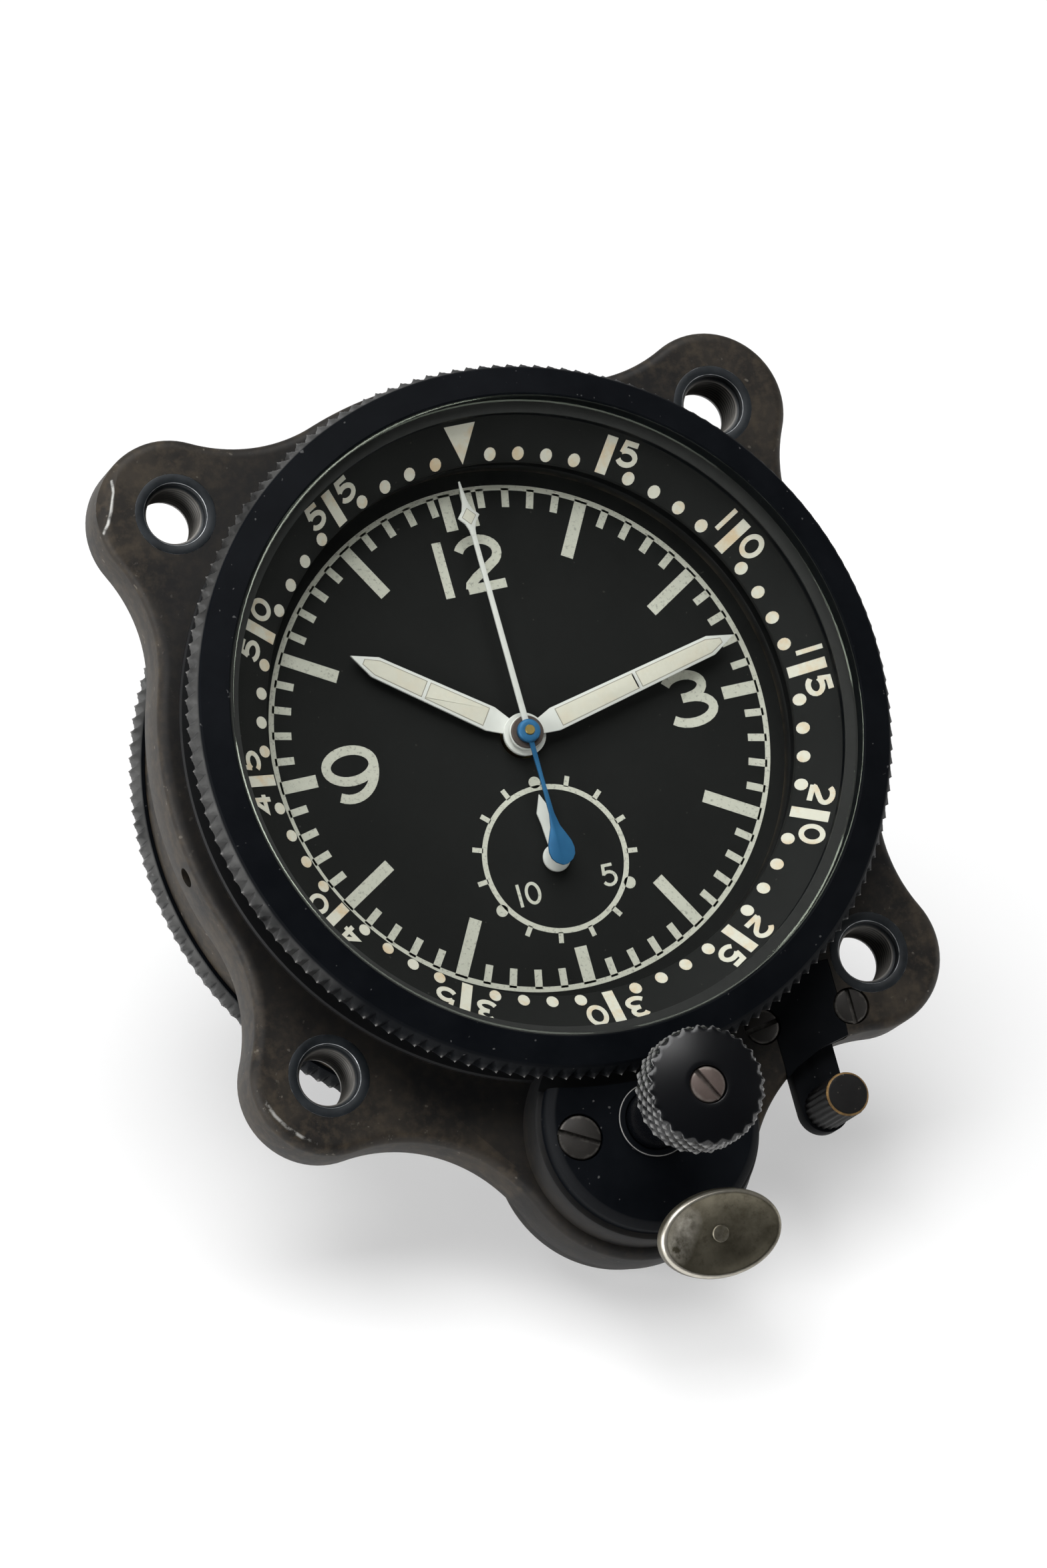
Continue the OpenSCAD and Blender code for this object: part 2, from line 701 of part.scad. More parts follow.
module stem_bushing() {
    rise = 0.25;
    color([0.2, 0.2, 0.2]) upright() translate(winding)
        tube(bush_r, stem_r + run_gap, boss_h, plate_top + rise);
}

stem_low = boss_h + 0.2;
stem_high = plate_top + stem_out;
spigot_r = stem_r * 0.65;
spigot_len = knob_h - 1.3;
knob_screw_r = 1.45;
knob_screw_t = 0.8;

module winding_stem() {
    shank_r = knob_screw_r * 0.45;
    color([0.1, 0.1, 0.1]) upright() translate(winding) difference() {
        union() {
            rod(stem_r, stem_low, stem_high);
            rod(spigot_r, stem_high - over, stem_high + spigot_len);
            translate([-stem_square / 2, -stem_square / 2, pinion_foot + 0.4])
                cube([stem_square, stem_square, stem_low - pinion_foot]);
        }
        rod(shank_r + seat_gap, stem_high - 1.5, stem_high + spigot_len + over);
    }
}

// Knob with grooves round it and a recess for its screw
module winding_knob() {
    grooves = 24;
    groove = 0.4;
    edge = 0.5;
    face = stem_high + knob_h;
    rim = knob_r + 0.02;
    color([0.08, 0.08, 0.08]) upright() translate(winding) difference() {
        intersection() {
            translate([0, 0, stem_high]) linear_extrude(knob_h)
                polygon([for (i = [0 : 2 * grooves - 1]) polar(i % 2 ? knob_r - groove : knob_r, i * 180 / grooves)]);
            rotate_extrude() polygon([[0, stem_high], [knob_r - edge, stem_high], [rim, stem_high + edge],
                [rim, face - edge], [knob_r - edge, face], [0, face]]);
        }
        rod(spigot_r + seat_gap, stem_high - over, stem_high + spigot_len);
        rod(knob_screw_r + 0.3, stem_high + spigot_len - over, face + over);
    }
}

module knob_screw() {
    top = stem_high + spigot_len + knob_screw_t;
    color([0.45, 0.42, 0.4]) upright() translate([0, -winding_drop, top])
        screw(knob_screw_r, knob_screw_t, knob_screw_r * 0.45, spigot_len + 1, -63);
}

module winding_pinion() {
    square = stem_square + 2 * run_gap;
    color([0.5, 0.5, 0.5]) upright() translate(winding) difference() {
        union() {
            wheel(winding_m, pinion_n, winding_way, winding_z, winding_t);
            rod(pinion_sleeve_r, pinion_foot + 0.1, pinion_top);
        }
        translate([-square / 2, -square / 2, pinion_foot]) cube([square, square, pinion_top - pinion_foot + over]);
    }
}

crown_phase = mesh(winding_way, pinion_n, winding_way, crown_n);
transfer_phase = mesh(winding_way, crown_n, crown_phase, transfer_n);
ratchet_phase = mesh(winding_way, transfer_n, transfer_phase, ratchet_n);
stud_r = 0.7;
stud_deep = 0.6;

module crown_wheel() {
    color([0.6, 0.6, 0.58]) upright() translate(crown_at) difference() {
        wheel(winding_m, crown_n, crown_phase, winding_z, winding_t);
        rod(stud_r + run_gap, winding_z - over, 0);
    }
}

module transfer_wheel() {
    color([0.6, 0.6, 0.58]) upright() translate(transfer_at) difference() {
        wheel(winding_m, transfer_n, transfer_phase, winding_z, winding_t);
        rod(stud_r + run_gap, winding_z - over, 0);
    }
}

arbor_top_r = 0.9;
module ratchet_wheel() {
    color([0.6, 0.6, 0.58]) upright() translate(barrel_at) difference() {
        wheel(winding_m, ratchet_n, ratchet_phase, winding_z, winding_t);
        rod(arbor_top_r + seat_gap, winding_z - over, 0);
    }
}

// Click: an arm on a stud whose nose lies just clear of the ratchet's teeth
click_at = [-14.5, 3];
module click() {
    nose = barrel_at + polar(tip_of(winding_m, ratchet_n) + 0.15, 95);
    way = heading(click_at, nose);
    side = polar(1, way + 90);
    color([0.6, 0.6, 0.58]) upright() translate([0, 0, winding_z]) linear_extrude(winding_t) difference() {
        union() {
            translate(click_at) circle(1.3);
            polygon([click_at + side, click_at - side, nose]);
        }
        translate(click_at) circle(stud_r + run_gap);
    }
}

// Studs that the winding wheels, the click and the minute wheel turn on
minute_stud_r = 0.45;
module wheel_studs() {
    top = winding_z + winding_t + 0.2;
    color([0.6, 0.6, 0.6]) upright() {
        for (p = [crown_at, transfer_at, click_at]) translate(p) rod(stud_r, main_front - stud_deep, top);
        translate(minute_wheel_at) rod(minute_stud_r, main_front - stud_deep, dial_back - 0.3);
    }
}

module push_guide() {
    color([0.15, 0.15, 0.15]) upright() push_axis() tube(guide_r, push_r + run_gap, guide_low, guide_high);
}

// Stem with a stop under the guide and a thin end riveted over the pad
rivet_r = 0.62;
module push_stem() {
    color([0.5, 0.48, 0.42]) upright() push_axis() {
        rod(push_r, guide_low - stop_t, pad_back);
        rod(guide_r - 0.1, guide_low - stop_t, guide_low - run_gap);
        rod(rivet_r, pad_back - over, pad_back + pad_t - dish_deep + 0.12);
    }
}

// Oval pad with a shallow dish
dish_deep = 0.45;
module push_pad() {
    dish_edge = pad_w / 2 + 0.3;
    dish_r = (dish_edge * dish_edge + dish_deep * dish_deep) / (2 * dish_deep);
    lean = pad_h / pad_w;
    sides = 48;
    color([0.42, 0.4, 0.34]) upright() push_axis() translate([0, 0, pad_back]) difference() {
        linear_extrude(pad_t) polygon([for (i = [0 : sides - 1])
            pad_w / 2 * [cos(i * 360 / sides), lean * sin(i * 360 / sides)]]);
        translate([0, 0, pad_t - dish_deep + dish_r]) sphere(r = dish_r);
        rod(rivet_r + seat_gap, -over, pad_t + over);
    }
}

// Points of a ring of the push spring's wire, at a share f of its length
spring_turns = 5;
spring_wire = 0.18;
spring_r = guide_r - 0.1 - spring_wire;
spring_low = chamber_low + 0.05;
spring_high = guide_low - stop_t - 0.05;
spring_rings = 8 * spring_turns;
function spring_ring(f) =
    let (a = 360 * spring_turns * f, z = spring_low + spring_wire + (spring_high - spring_low - 2 * spring_wire) * f)
    [for (j = [0 : 5]) let (r = spring_r + spring_wire * cos(60 * j))
        [r * cos(a), r * sin(a), z + spring_wire * sin(60 * j)]];
module push_spring() {
    points = [for (i = [0 : spring_rings]) each spring_ring(i / spring_rings)];
    walls = [for (i = [0 : spring_rings - 1], j = [0 : 5], t = [0, 1])
        let (a = 6 * i + j, b = 6 * i + (j + 1) % 6) t ? [a, a + 6, b + 6] : [a, b + 6, b]];
    last = 6 * spring_rings;
    ends = concat([for (j = [1 : 4]) [0, j, j + 1]], [for (j = [1 : 4]) [last, last + j + 1, last + j]]);
    color([0.6, 0.6, 0.6]) upright() push_axis() polyhedron(points, concat(walls, ends));
}

module slide_cover() {
    color([0.07, 0.08, 0.1]) upright() difference() {
        intersection() {
            translate([slide_x - strip_w / 2, -slide_drop, strip_low])
                cube([strip_w, strip_in + slide_drop, strip_t]);
            translate([0, 0, -2 * flange_t]) linear_extrude(4 * flange_t) polygon(flange_points(0.1));
        }
        for (s = [-1, 1]) translate(cover_screw(s)) rod(cover_head_r + 0.1, -2 * flange_t, over);
    }
}

module cover_screws() {
    color([0.3, 0.3, 0.3]) upright() for (s = [-1, 1]) translate(cover_screw(s))
        translate([0, 0, -0.05]) screw(cover_head_r, cover_head_t - 0.1, cover_shank_r, 2.6, s < 0 ? 9 : -90);
}

module stop_slide() {
    color([0.08, 0.08, 0.09]) upright() difference() {
        union() {
            translate([slide_x - slide_w / 2, -slide_drop, slide_low])
                cube([slide_w, slide_in + slide_drop, slide_t]);
            translate([slide_x, -slide_drop]) rod(slide_w / 2, slide_low, slide_low + slide_t);
        }
        translate([slide_x, -slide_drop]) rod(slide_spigot_r + seat_gap, slide_low - over, 0);
    }
}

slide_spigot_r = 0.8;
module slide_pin() {
    flutes = 22;
    flute = 0.14;
    foot = slide_low + slide_t;
    color([0.1, 0.09, 0.08]) upright() translate([slide_x, -slide_drop, 0]) {
        translate([0, 0, foot]) linear_extrude(pin_len)
            polygon([for (i = [0 : 2 * flutes - 1]) polar(i % 2 ? pin_r - flute : pin_r, i * 180 / flutes)]);
        rod(slide_spigot_r, slide_low, foot + over);
    }
}

// Every arbor that runs between the plates: its place and the radius of its pivots
pivot_r = 0.25;
train_pivots = [inter_at, third_at, fourth_at, escape_at, pallet_at, balance_at];
barrel_pivot_r = 1;
pillar_r = 1.4;
pillar_spigot_r = 0.8;
pillar_screw_r = 0.6;
pillar_head_r = 1.2;
pillar_head_t = 0.7;
pillar_bite = 2.4;
pillar_ways = [30, 115, 165, 300];
function pillar(k) = polar(bore_r - 4.3, k);

module main_plate() {
    color([0.75, 0.65, 0.35]) upright() difference() {
        rod(fit_r, main_back, main_front);
        rod(centre_tube_r + run_gap, main_back - over, main_front + over);
        translate(counter) rod(counter_r + run_gap, main_back - over, main_front + over);
        translate(barrel_at) rod(barrel_pivot_r + run_gap, main_back - over, main_front + over);
        for (p = train_pivots) translate(p) rod(pivot_r + run_gap, main_back - over, main_front + over);
        for (p = [transfer_at, click_at]) translate(p)
            rod(stud_r + seat_gap, main_front - stud_deep, main_front + over);
        translate(minute_wheel_at) rod(minute_stud_r + seat_gap, main_front - stud_deep, main_front + over);
        for (k = pillar_ways) translate(pillar(k)) rod(pillar_spigot_r + seat_gap, main_back - over, main_back + 0.8);
    }
}

module back_plate() {
    color([0.75, 0.65, 0.35]) upright() difference() {
        rod(bore_r - 2.2, back_back, back_front);
        rod(centre_tube_r + run_gap, back_back - over, back_front + over);
        translate(counter) rod(counter_r + run_gap, back_back - over, back_front + over);
        translate(barrel_at) rod(barrel_pivot_r + run_gap, back_back - over, back_front + over);
        for (p = concat(train_pivots, [idler_at])) translate(p)
            rod(pivot_r + run_gap, back_back - over, back_front + over);
        for (k = pillar_ways) translate(pillar(k)) rod(pillar_screw_r + seat_gap, back_back - over, back_front + over);
        for (p = bridge_feet) translate(p) rod(bridge_screw_r + seat_gap, back_back - over, back_front + over);
    }
}

module movement_ring() {
    color([0.5, 0.5, 0.5]) upright() tube(fit_r, fit_r - 1, case_end, main_back);
}

module pillars() {
    hole = pillar_bite + 0.2;
    color([0.75, 0.65, 0.35]) upright() for (k = pillar_ways) translate(pillar(k)) difference() {
        union() {
            rod(pillar_r, back_front, main_back);
            rod(pillar_spigot_r, main_back - over, main_back + 0.8);
        }
        rod(pillar_screw_r + seat_gap, back_front - over, back_front + hole);
    }
}

bridge_screw_r = 0.45;
bridge_head_r = 1;
bridge_head_t = 0.45;
module movement_screws() {
    color([0.35, 0.4, 0.5]) upright() {
        for (k = pillar_ways) translate(pillar(k)) translate([0, 0, back_back - pillar_head_t]) mirror([0, 0, 1])
            screw(pillar_head_r, pillar_head_t, pillar_screw_r, back_t + pillar_bite, k);
        for (p = bridge_feet) translate(p) translate([0, 0, bridge_back]) mirror([0, 0, 1])
            screw(bridge_head_r, bridge_head_t, bridge_screw_r, bridge_t - bridge_head_t + chrono_h + back_t, 20);
    }
}

// Barrel: an open drum on the great wheel, closed by a cap
barrel_low = back_front + 0.6;
great_t = 0.9;
drum_high = main_back - 1.7;
drum_wall = 0.5;
cap_t = 0.5;
great_phase = 0;
module barrel() {
    color([0.78, 0.66, 0.35]) upright() translate(barrel_at) difference() {
        union() {
            wheel(great_m, great_n, great_phase, barrel_low, great_t);
            rod(drum_r, barrel_low + great_t - over, drum_high);
        }
        rod(drum_r - drum_wall, barrel_low + great_t + 0.5, drum_high + over);
        rod(barrel_pivot_r + run_gap, barrel_low - over, drum_high);
    }
}

module barrel_cap() {
    color([0.78, 0.66, 0.35]) upright() translate(barrel_at)
        tube(drum_r - drum_wall - seat_gap, barrel_pivot_r + run_gap, drum_high - cap_t, drum_high);
}

spring_space_low = barrel_low + great_t + 0.6;
spring_space_high = drum_high - cap_t - 0.1;
core_r = 2;
module barrel_arbor() {
    color([0.6, 0.6, 0.6]) upright() translate(barrel_at) {
        rod(barrel_pivot_r, back_back + 0.2, main_front - 0.1);
        rod(core_r, spring_space_low, spring_space_high);
        rod(arbor_top_r, main_front - 0.2, winding_z + winding_t + 0.2);
    }
}

// Flat strip wound in a spiral from r_in to r_out
module spiral(r_in, r_out, turns, strip) {
    steps = 18 * turns;
    function at(i, side) = polar(r_in + (r_out - r_in) * i / steps + side * strip / 2, 20 * i);
    polygon(concat([for (i = [0 : steps]) at(i, 1)], [for (i = [steps : -1 : 0]) at(i, -1)]));
}

module mainspring() {
    strip = 0.22;
    color([0.4, 0.45, 0.55]) upright() translate([barrel_at[0], barrel_at[1], spring_space_low])
        linear_extrude(spring_space_high - spring_space_low)
        spiral(core_r + 0.2, drum_r - drum_wall - 0.2, 7, strip);
}

inter_way = heading(barrel_at, inter_at);
inter_phase = mesh(inter_way, great_n, great_phase, inter_pinion_n);
inter_z = main_back - 1.2;
module intermediate_wheel() {
    color([0.78, 0.66, 0.35]) upright() translate(inter_at) {
        arbor(0.45, pivot_r);
        wheel(great_m, inter_pinion_n, inter_phase, barrel_low - 0.1, great_t + 0.2);
        wheel(inter_m, inter_n, inter_phase, inter_z, 0.6);
    }
}

centre_phase = mesh(heading(inter_at, centre), inter_n, inter_phase, centre_pinion_n);
centre_z = main_back - 3;
module centre_wheel() {
    color([0.78, 0.66, 0.35]) upright() difference() {
        union() {
            rod(centre_tube_r, back_back + 0.1, dial_back + 0.2);
            wheel(inter_m, centre_pinion_n, centre_phase, inter_z - 0.2, 1);
            wheel(centre_m, centre_n, centre_phase, centre_z, 0.5);
        }
        rod(chrono_r + run_gap, back_back, 0);
    }
}

third_phase = mesh(heading(centre, third_at), centre_n, centre_phase, third_pinion_n);
third_z = main_back - 5.4;
module third_wheel() {
    color([0.78, 0.66, 0.35]) upright() translate(third_at) {
        arbor(0.4, pivot_r);
        wheel(centre_m, third_pinion_n, third_phase, centre_z - 0.3, 1.1);
        wheel(third_m, third_n, third_phase, third_z, 0.5);
    }
}

fourth_phase = mesh(heading(third_at, fourth_at), third_n, third_phase, fourth_pinion_n);
fourth_z = main_back - 7.3;
module fourth_wheel() {
    color([0.78, 0.66, 0.35]) upright() translate(fourth_at) {
        arbor(0.4, pivot_r);
        wheel(third_m, fourth_pinion_n, fourth_phase, third_z - 0.3, 1.1);
        wheel(fourth_m, fourth_n, fourth_phase, fourth_z, 0.5);
    }
}

escape_phase = mesh(heading(fourth_at, escape_at), fourth_n, fourth_phase, escape_pinion_n);
escape_z = main_back - 4.4;
module escape_wheel() {
    rim = escape_r - 0.8;
    step = 360 / escape_n;
    color([0.6, 0.6, 0.58]) upright() translate(escape_at) {
        arbor(0.26, pivot_r);
        wheel(fourth_m, escape_pinion_n, escape_phase, fourth_z - 0.4, 1.3);
        translate([0, 0, escape_z]) linear_extrude(0.4)
            polygon([for (i = [0 : escape_n - 1]) each [polar(rim, i * step), polar(escape_r, i * step + 4),
                polar(escape_r, i * step + 8), polar(rim, i * step + 9)]]);
    }
}

// Lever with two pallets beside the escape wheel and a fork towards the balance
module pallet_lever() {
    reach = 2.1;
    arm = 0.35;
    tail = norm(balance_at - pallet_at) - 1.1;
    color([0.6, 0.6, 0.58]) upright() translate(pallet_at) {
        arbor(0.26, pivot_r);
        translate([0, 0, escape_z]) linear_extrude(0.4) rotate(lever_way) {
            circle(0.55);
            translate([-arm / 2, -reach]) square([arm, 2 * reach]);
            translate([0, -arm / 2]) square([tail, arm]);
            for (s = [-1, 1]) translate([-0.75, s * reach - arm / 2]) square([0.9, arm]);
        }
    }
}

balance_z = main_back - 3.2;
module balance_wheel() {
    rim = 0.7;
    color([0.8, 0.68, 0.36]) upright() translate(balance_at) {
        arbor(0.35, pivot_r);
        rod(0.8, escape_z, escape_z + 0.4);
        tube(balance_r, balance_r - rim, balance_z, balance_z + 0.7);
        translate([-balance_r + rim / 2, -0.35, balance_z]) cube([2 * balance_r - rim, 0.7, 0.5]);
    }
}

module hairspring() {
    color([0.3, 0.4, 0.6]) upright() translate([balance_at[0], balance_at[1], balance_z + 1.1])
        linear_extrude(0.4) spiral(0.46, 2.8, 5, 0.1);
}

cannon_z = main_front + 0.1;
minute_phase = mesh(minute_way, cannon_n, minute_way, minute_n);
module cannon_pinion() {
    color([0.6, 0.6, 0.58]) upright() difference() {
        union() {
            wheel(minute_m, cannon_n, minute_way, cannon_z, 1);
            rod(cannon_pipe_r - seat_gap, cannon_z, minute_z + hand_t + 0.05);
        }
        rod(centre_tube_r + run_gap, cannon_z - over, 2);
    }
}

module minute_wheel() {
    color([0.78, 0.66, 0.35]) upright() translate(minute_wheel_at) difference() {
        union() {
            wheel(minute_m, minute_n, minute_phase, cannon_z + 0.2, 0.6);
            wheel(hour_m, minute_pinion_n, minute_phase, cannon_z + 0.7, 1.2);
        }
        rod(minute_stud_r + run_gap, main_front, 0);
    }
}

hour_wheel_z = cannon_z + 1.2;
module hour_wheel() {
    phase = mesh(minute_way + 180, minute_pinion_n, minute_phase, hour_n);
    color([0.78, 0.66, 0.35]) upright() difference() {
        union() {
            wheel(hour_m, hour_n, phase, hour_wheel_z, 0.6);
            rod(hour_pipe_r - seat_gap, hour_wheel_z, hour_z + hand_t + 0.03);
        }
        rod(cannon_pipe_r + run_gap, hour_wheel_z - over, 2);
    }
}

idler_way = heading(centre, idler_at);
idler_phase = mesh(idler_way, chrono_n, idler_way, idler_n);
module chrono_arbor() {
    tip = seconds_z + hand_t + 0.45;
    color([0.8, 0.68, 0.36]) upright() {
        rod(chrono_r - seat_gap, bridge_back + 0.15, tip);
        wheel(chrono_m, chrono_n, idler_way, idler_z - 0.1, 0.8);
    }
}

module counter_idler() {
    color([0.78, 0.66, 0.35]) upright() translate(idler_at) {
        rod(pivot_r, bridge_back + 0.15, back_front - 0.2);
        wheel(chrono_m, idler_n, idler_phase, idler_z, 0.6);
        wheel(chrono_m, idler_pinion_n, idler_phase, counter_z - 0.2, idler_z - counter_z + 0.3);
    }
}

module counter_wheel() {
    phase = mesh(heading(idler_at, counter), idler_pinion_n, idler_phase, counter_n);
    color([0.78, 0.66, 0.35]) upright() translate(counter) {
        rod(counter_r - seat_gap, bridge_back + 0.15, counter_hand_z + hand_t + 0.12);
        wheel(chrono_m, counter_n, phase, counter_z, 0.5);
    }
}

// Bridge over the chronograph wheels, on two feet
module chrono_bridge() {
    foot_r = 1.6;
    outline = [[9.5, -3.4], [3, -12.6], [-2.4, -12.8], [-8.2, -2.8], [-7, -0.2], [-1.6, 2], [2, 2], [8.4, -1.2]];
    color([0.75, 0.65, 0.35]) upright() difference() {
        union() {
            translate([0, 0, bridge_back]) linear_extrude(bridge_t) polygon(outline);
            for (p = bridge_feet) translate(p) rod(foot_r, bridge_front - over, back_back);
        }
        rod(chrono_r + run_gap, bridge_back - over, bridge_front + over);
        translate(counter) rod(counter_r + run_gap, bridge_back - over, bridge_front + over);
        translate(idler_at) rod(pivot_r + run_gap, bridge_back - over, bridge_front + over);
        for (p = bridge_feet) translate(p) {
            rod(bridge_screw_r + seat_gap, bridge_back - over, back_back + over);
            rod(bridge_head_r + 0.1, bridge_back - over, bridge_back + bridge_head_t);
        }
    }
}

case_body();
threaded_inserts();
set_screw();
rear_cover();
rear_gasket();
bezel();
bezel_spring();
chapter_ring();
glass();
glass_seal();
dial();
dial_spacer();
hour_hand();
minute_hand();
chrono_seconds_hand();
chrono_minute_hand();
housing_plate();
plate_screws();
stem_bushing();
winding_stem();
winding_knob();
knob_screw();
winding_pinion();
crown_wheel();
transfer_wheel();
ratchet_wheel();
click();
wheel_studs();
push_guide();
push_stem();
push_pad();
push_spring();
slide_cover();
cover_screws();
stop_slide();
slide_pin();
main_plate();
back_plate();
movement_ring();
pillars();
movement_screws();
barrel();
barrel_cap();
barrel_arbor();
mainspring();
intermediate_wheel();
centre_wheel();
third_wheel();
fourth_wheel();
escape_wheel();
pallet_lever();
balance_wheel();
hairspring();
cannon_pinion();
minute_wheel();
hour_wheel();
chrono_arbor();
counter_idler();
counter_wheel();
chrono_bridge();
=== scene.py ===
# %% [markdown]
# # An aircraft panel clock
# The clock's solids come packed from the workshop as a fixed frame. This lesson dresses that frame: it
# gives each piece that shows its fine shape and its finish, and leaves the hidden wheels as they are. Sizes
# are in millimetres with the dial flat: x to 3 o'clock, y to 12 o'clock, z out of the dial. The function
# `to_row` turns such a point into the frame's metres, where the dial faces -Y.

# %% Load the frame
import math

import bmesh
import bpy
from mathutils import Euler, Matrix, Vector


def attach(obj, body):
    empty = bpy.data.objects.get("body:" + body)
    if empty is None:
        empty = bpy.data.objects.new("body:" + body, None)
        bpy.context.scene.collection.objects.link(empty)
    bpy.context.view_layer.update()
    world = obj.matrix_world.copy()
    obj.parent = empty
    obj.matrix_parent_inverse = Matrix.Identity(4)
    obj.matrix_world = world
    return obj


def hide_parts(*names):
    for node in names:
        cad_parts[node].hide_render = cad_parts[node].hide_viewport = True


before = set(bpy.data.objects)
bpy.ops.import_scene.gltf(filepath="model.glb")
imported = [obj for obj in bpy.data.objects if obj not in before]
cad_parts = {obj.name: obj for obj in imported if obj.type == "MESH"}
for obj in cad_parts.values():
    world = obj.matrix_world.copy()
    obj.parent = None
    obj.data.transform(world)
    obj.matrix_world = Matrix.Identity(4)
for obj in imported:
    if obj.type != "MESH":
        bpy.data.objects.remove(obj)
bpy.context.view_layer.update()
scene = bpy.context.scene
scene.view_settings.view_transform = "Standard"

# %% [markdown]
# ## The camera
# The photograph was taken from the front left, a little below the dial's axis, with a long lens. Place and
# turn were worked out from the four mounting holes and the circles of bezel and dial. A constraint that
# aims at a target would leave the roll open, so both are plain numbers: metres, and degrees about x, y and
# z.

# %% Camera
PHOTO_HIGH = 2349
FOCAL_PIXELS = 11985.3
SENSOR = 36.0
EYE_AT = (-0.21443821, -0.60087153, -0.1078117)
EYE_TURN = (99.59834, 15.38188, -16.96908)
eye = bpy.data.cameras.new("eye")
eye.sensor_width = SENSOR
eye.lens = SENSOR * FOCAL_PIXELS / PHOTO_HIGH
eye.clip_start = 0.01
eye.clip_end = 20.0
camera = bpy.data.objects.new("eye", eye)
scene.collection.objects.link(camera)
eye_turn = Euler([math.radians(angle) for angle in EYE_TURN]).to_matrix().to_4x4()
camera.matrix_world = Matrix.Translation(EYE_AT) @ eye_turn
scene.camera = camera
print("lens:", round(eye.lens, 1), "mm")

# %% [markdown]
# ## Shader maths as Python
# A finish is easier to read as an expression than as a list of nodes. `Wire` holds one output socket, and
# its operators add Math nodes. `Finish` holds one material, and its method `node` makes every other node.

# %% Wires and finishes
MM = 0.001


def to_row(p):
    return (p[0] * MM, -p[2] * MM, p[1] * MM)


def feed(tree, socket, value):
    """Links a wire to a socket, or sets the socket's own value."""
    if isinstance(value, Wire):
        tree.links.new(value.socket, socket)
    elif isinstance(value, tuple) and socket.type == "RGBA":
        socket.default_value = (*value, 1.0)
    else:
        socket.default_value = value


class Wire:
    """One output socket. Its operators add Math nodes to the same tree."""

    def __init__(self, tree, socket):
        self.tree = tree
        self.socket = socket

    def maths(self, operation, first, second):
        made = self.tree.nodes.new("ShaderNodeMath")
        made.operation = operation
        feed(self.tree, made.inputs[0], first)
        feed(self.tree, made.inputs[1], second)
        return Wire(self.tree, made.outputs[0])

    def __add__(self, other):
        return self.maths("ADD", self, other)

    __radd__ = __add__

    def __sub__(self, other):
        return self.maths("SUBTRACT", self, other)

    def __rsub__(self, other):
        return self.maths("SUBTRACT", other, self)

    def __mul__(self, other):
        return self.maths("MULTIPLY", self, other)

    __rmul__ = __mul__

    def __pow__(self, other):
        return self.maths("POWER", self, other)

    def largest(self, other):
        return self.maths("MAXIMUM", self, other)


class Finish:
    """One material. Patterns read the piece's Object coordinates, in metres."""

    def __init__(self, name, tree=None):
        if tree is None:
            self.material = bpy.data.materials.new(name)
            self.material.use_nodes = True
            tree = self.material.node_tree
        self.tree = tree
        self.tree.nodes.clear()
        self.place = self.node("ShaderNodeTexCoord", output="Object")
        print("finish:", name)

    def node(self, kind, settings=None, inputs=None, output=0):
        made = self.tree.nodes.new(kind)
        for key, value in (settings or {}).items():
            setattr(made, key, value)
        for key, value in (inputs or {}).items():
            feed(self.tree, made.inputs[key], value)
        if not made.outputs:
            return made
        return Wire(self.tree, made.outputs[output])

    def axis(self, name, where=None):
        """X, Y or Z of a place, of the piece's own where none is given."""
        return self.node("ShaderNodeSeparateXYZ", inputs={"Vector": where or self.place}, output=name)

    def noise(self, scale, detail=2.0, rough=0.5, where=None):
        return self.node("ShaderNodeTexNoise", inputs={
            "Vector": where or self.place, "Scale": scale, "Detail": detail, "Roughness": rough})

    def stretched(self, along, across, detail=2.0):
        """Noise drawn out along one way, as a brush or a lathe leaves it."""
        turned = self.node("ShaderNodeMapping", inputs={"Vector": self.place, "Scale": along})
        return self.noise(across, detail, 0.6, turned)

    def ramp(self, value, low, high):
        return self.node("ShaderNodeMapRange", {"clamp": True}, {
            "Value": value, "From Min": low, "From Max": high, "To Min": 0.0, "To Max": 1.0})

    def mix(self, first, second, factor):
        return self.node("ShaderNodeMix", {"data_type": "RGBA"}, {0: factor, 6: first, 7: second}, 2)

    def mark(self, name):
        return self.node("ShaderNodeAttribute", {"attribute_name": name}, output="Fac")

    def vector(self, operation, inputs, output=0):
        return self.node("ShaderNodeVectorMath", {"operation": operation}, inputs, output)

    def scratch(self, start, end, width):
        """A thin mark on the surface between two points of the clock, in millimetres."""
        first = Vector(to_row(start))
        way = Vector(to_row(end)) - first
        out = self.vector("SUBTRACT", {0: self.place, 1: tuple(first)})
        along = self.vector("DOT_PRODUCT", {0: out, 1: tuple(way)}, "Value")
        share = self.ramp(along, 0.0, way.length_squared)
        foot = self.vector("SCALE", {0: tuple(way), "Scale": share})
        off = self.vector("DISTANCE", {0: out, 1: foot}, "Value")
        return self.ramp(off, width * MM, width * MM * 0.3)

    def scratches(self, path, width):
        """The same along a path of points."""
        whole = self.scratch(path[0], path[1], width)
        for start, end in zip(path[1:], path[2:]):
            whole = whole.largest(self.scratch(start, end, width))
        return whole

    def bump(self, height, strength, distance):
        return self.node("ShaderNodeBump", inputs={
            "Height": height, "Strength": strength, "Distance": distance})

    def surface(self, colour, rough, metal=0.0, normal=None, **fixed):
        inputs = {"Base Color": colour, "Roughness": rough, "Metallic": metal}
        if normal is not None:
            inputs["Normal"] = normal
        for key, value in fixed.items():
            inputs[key.replace("_", " ")] = value
        shader = self.node("ShaderNodeBsdfPrincipled", inputs=inputs)
        self.node("ShaderNodeOutputMaterial", inputs={"Surface": shader})
        return self.material


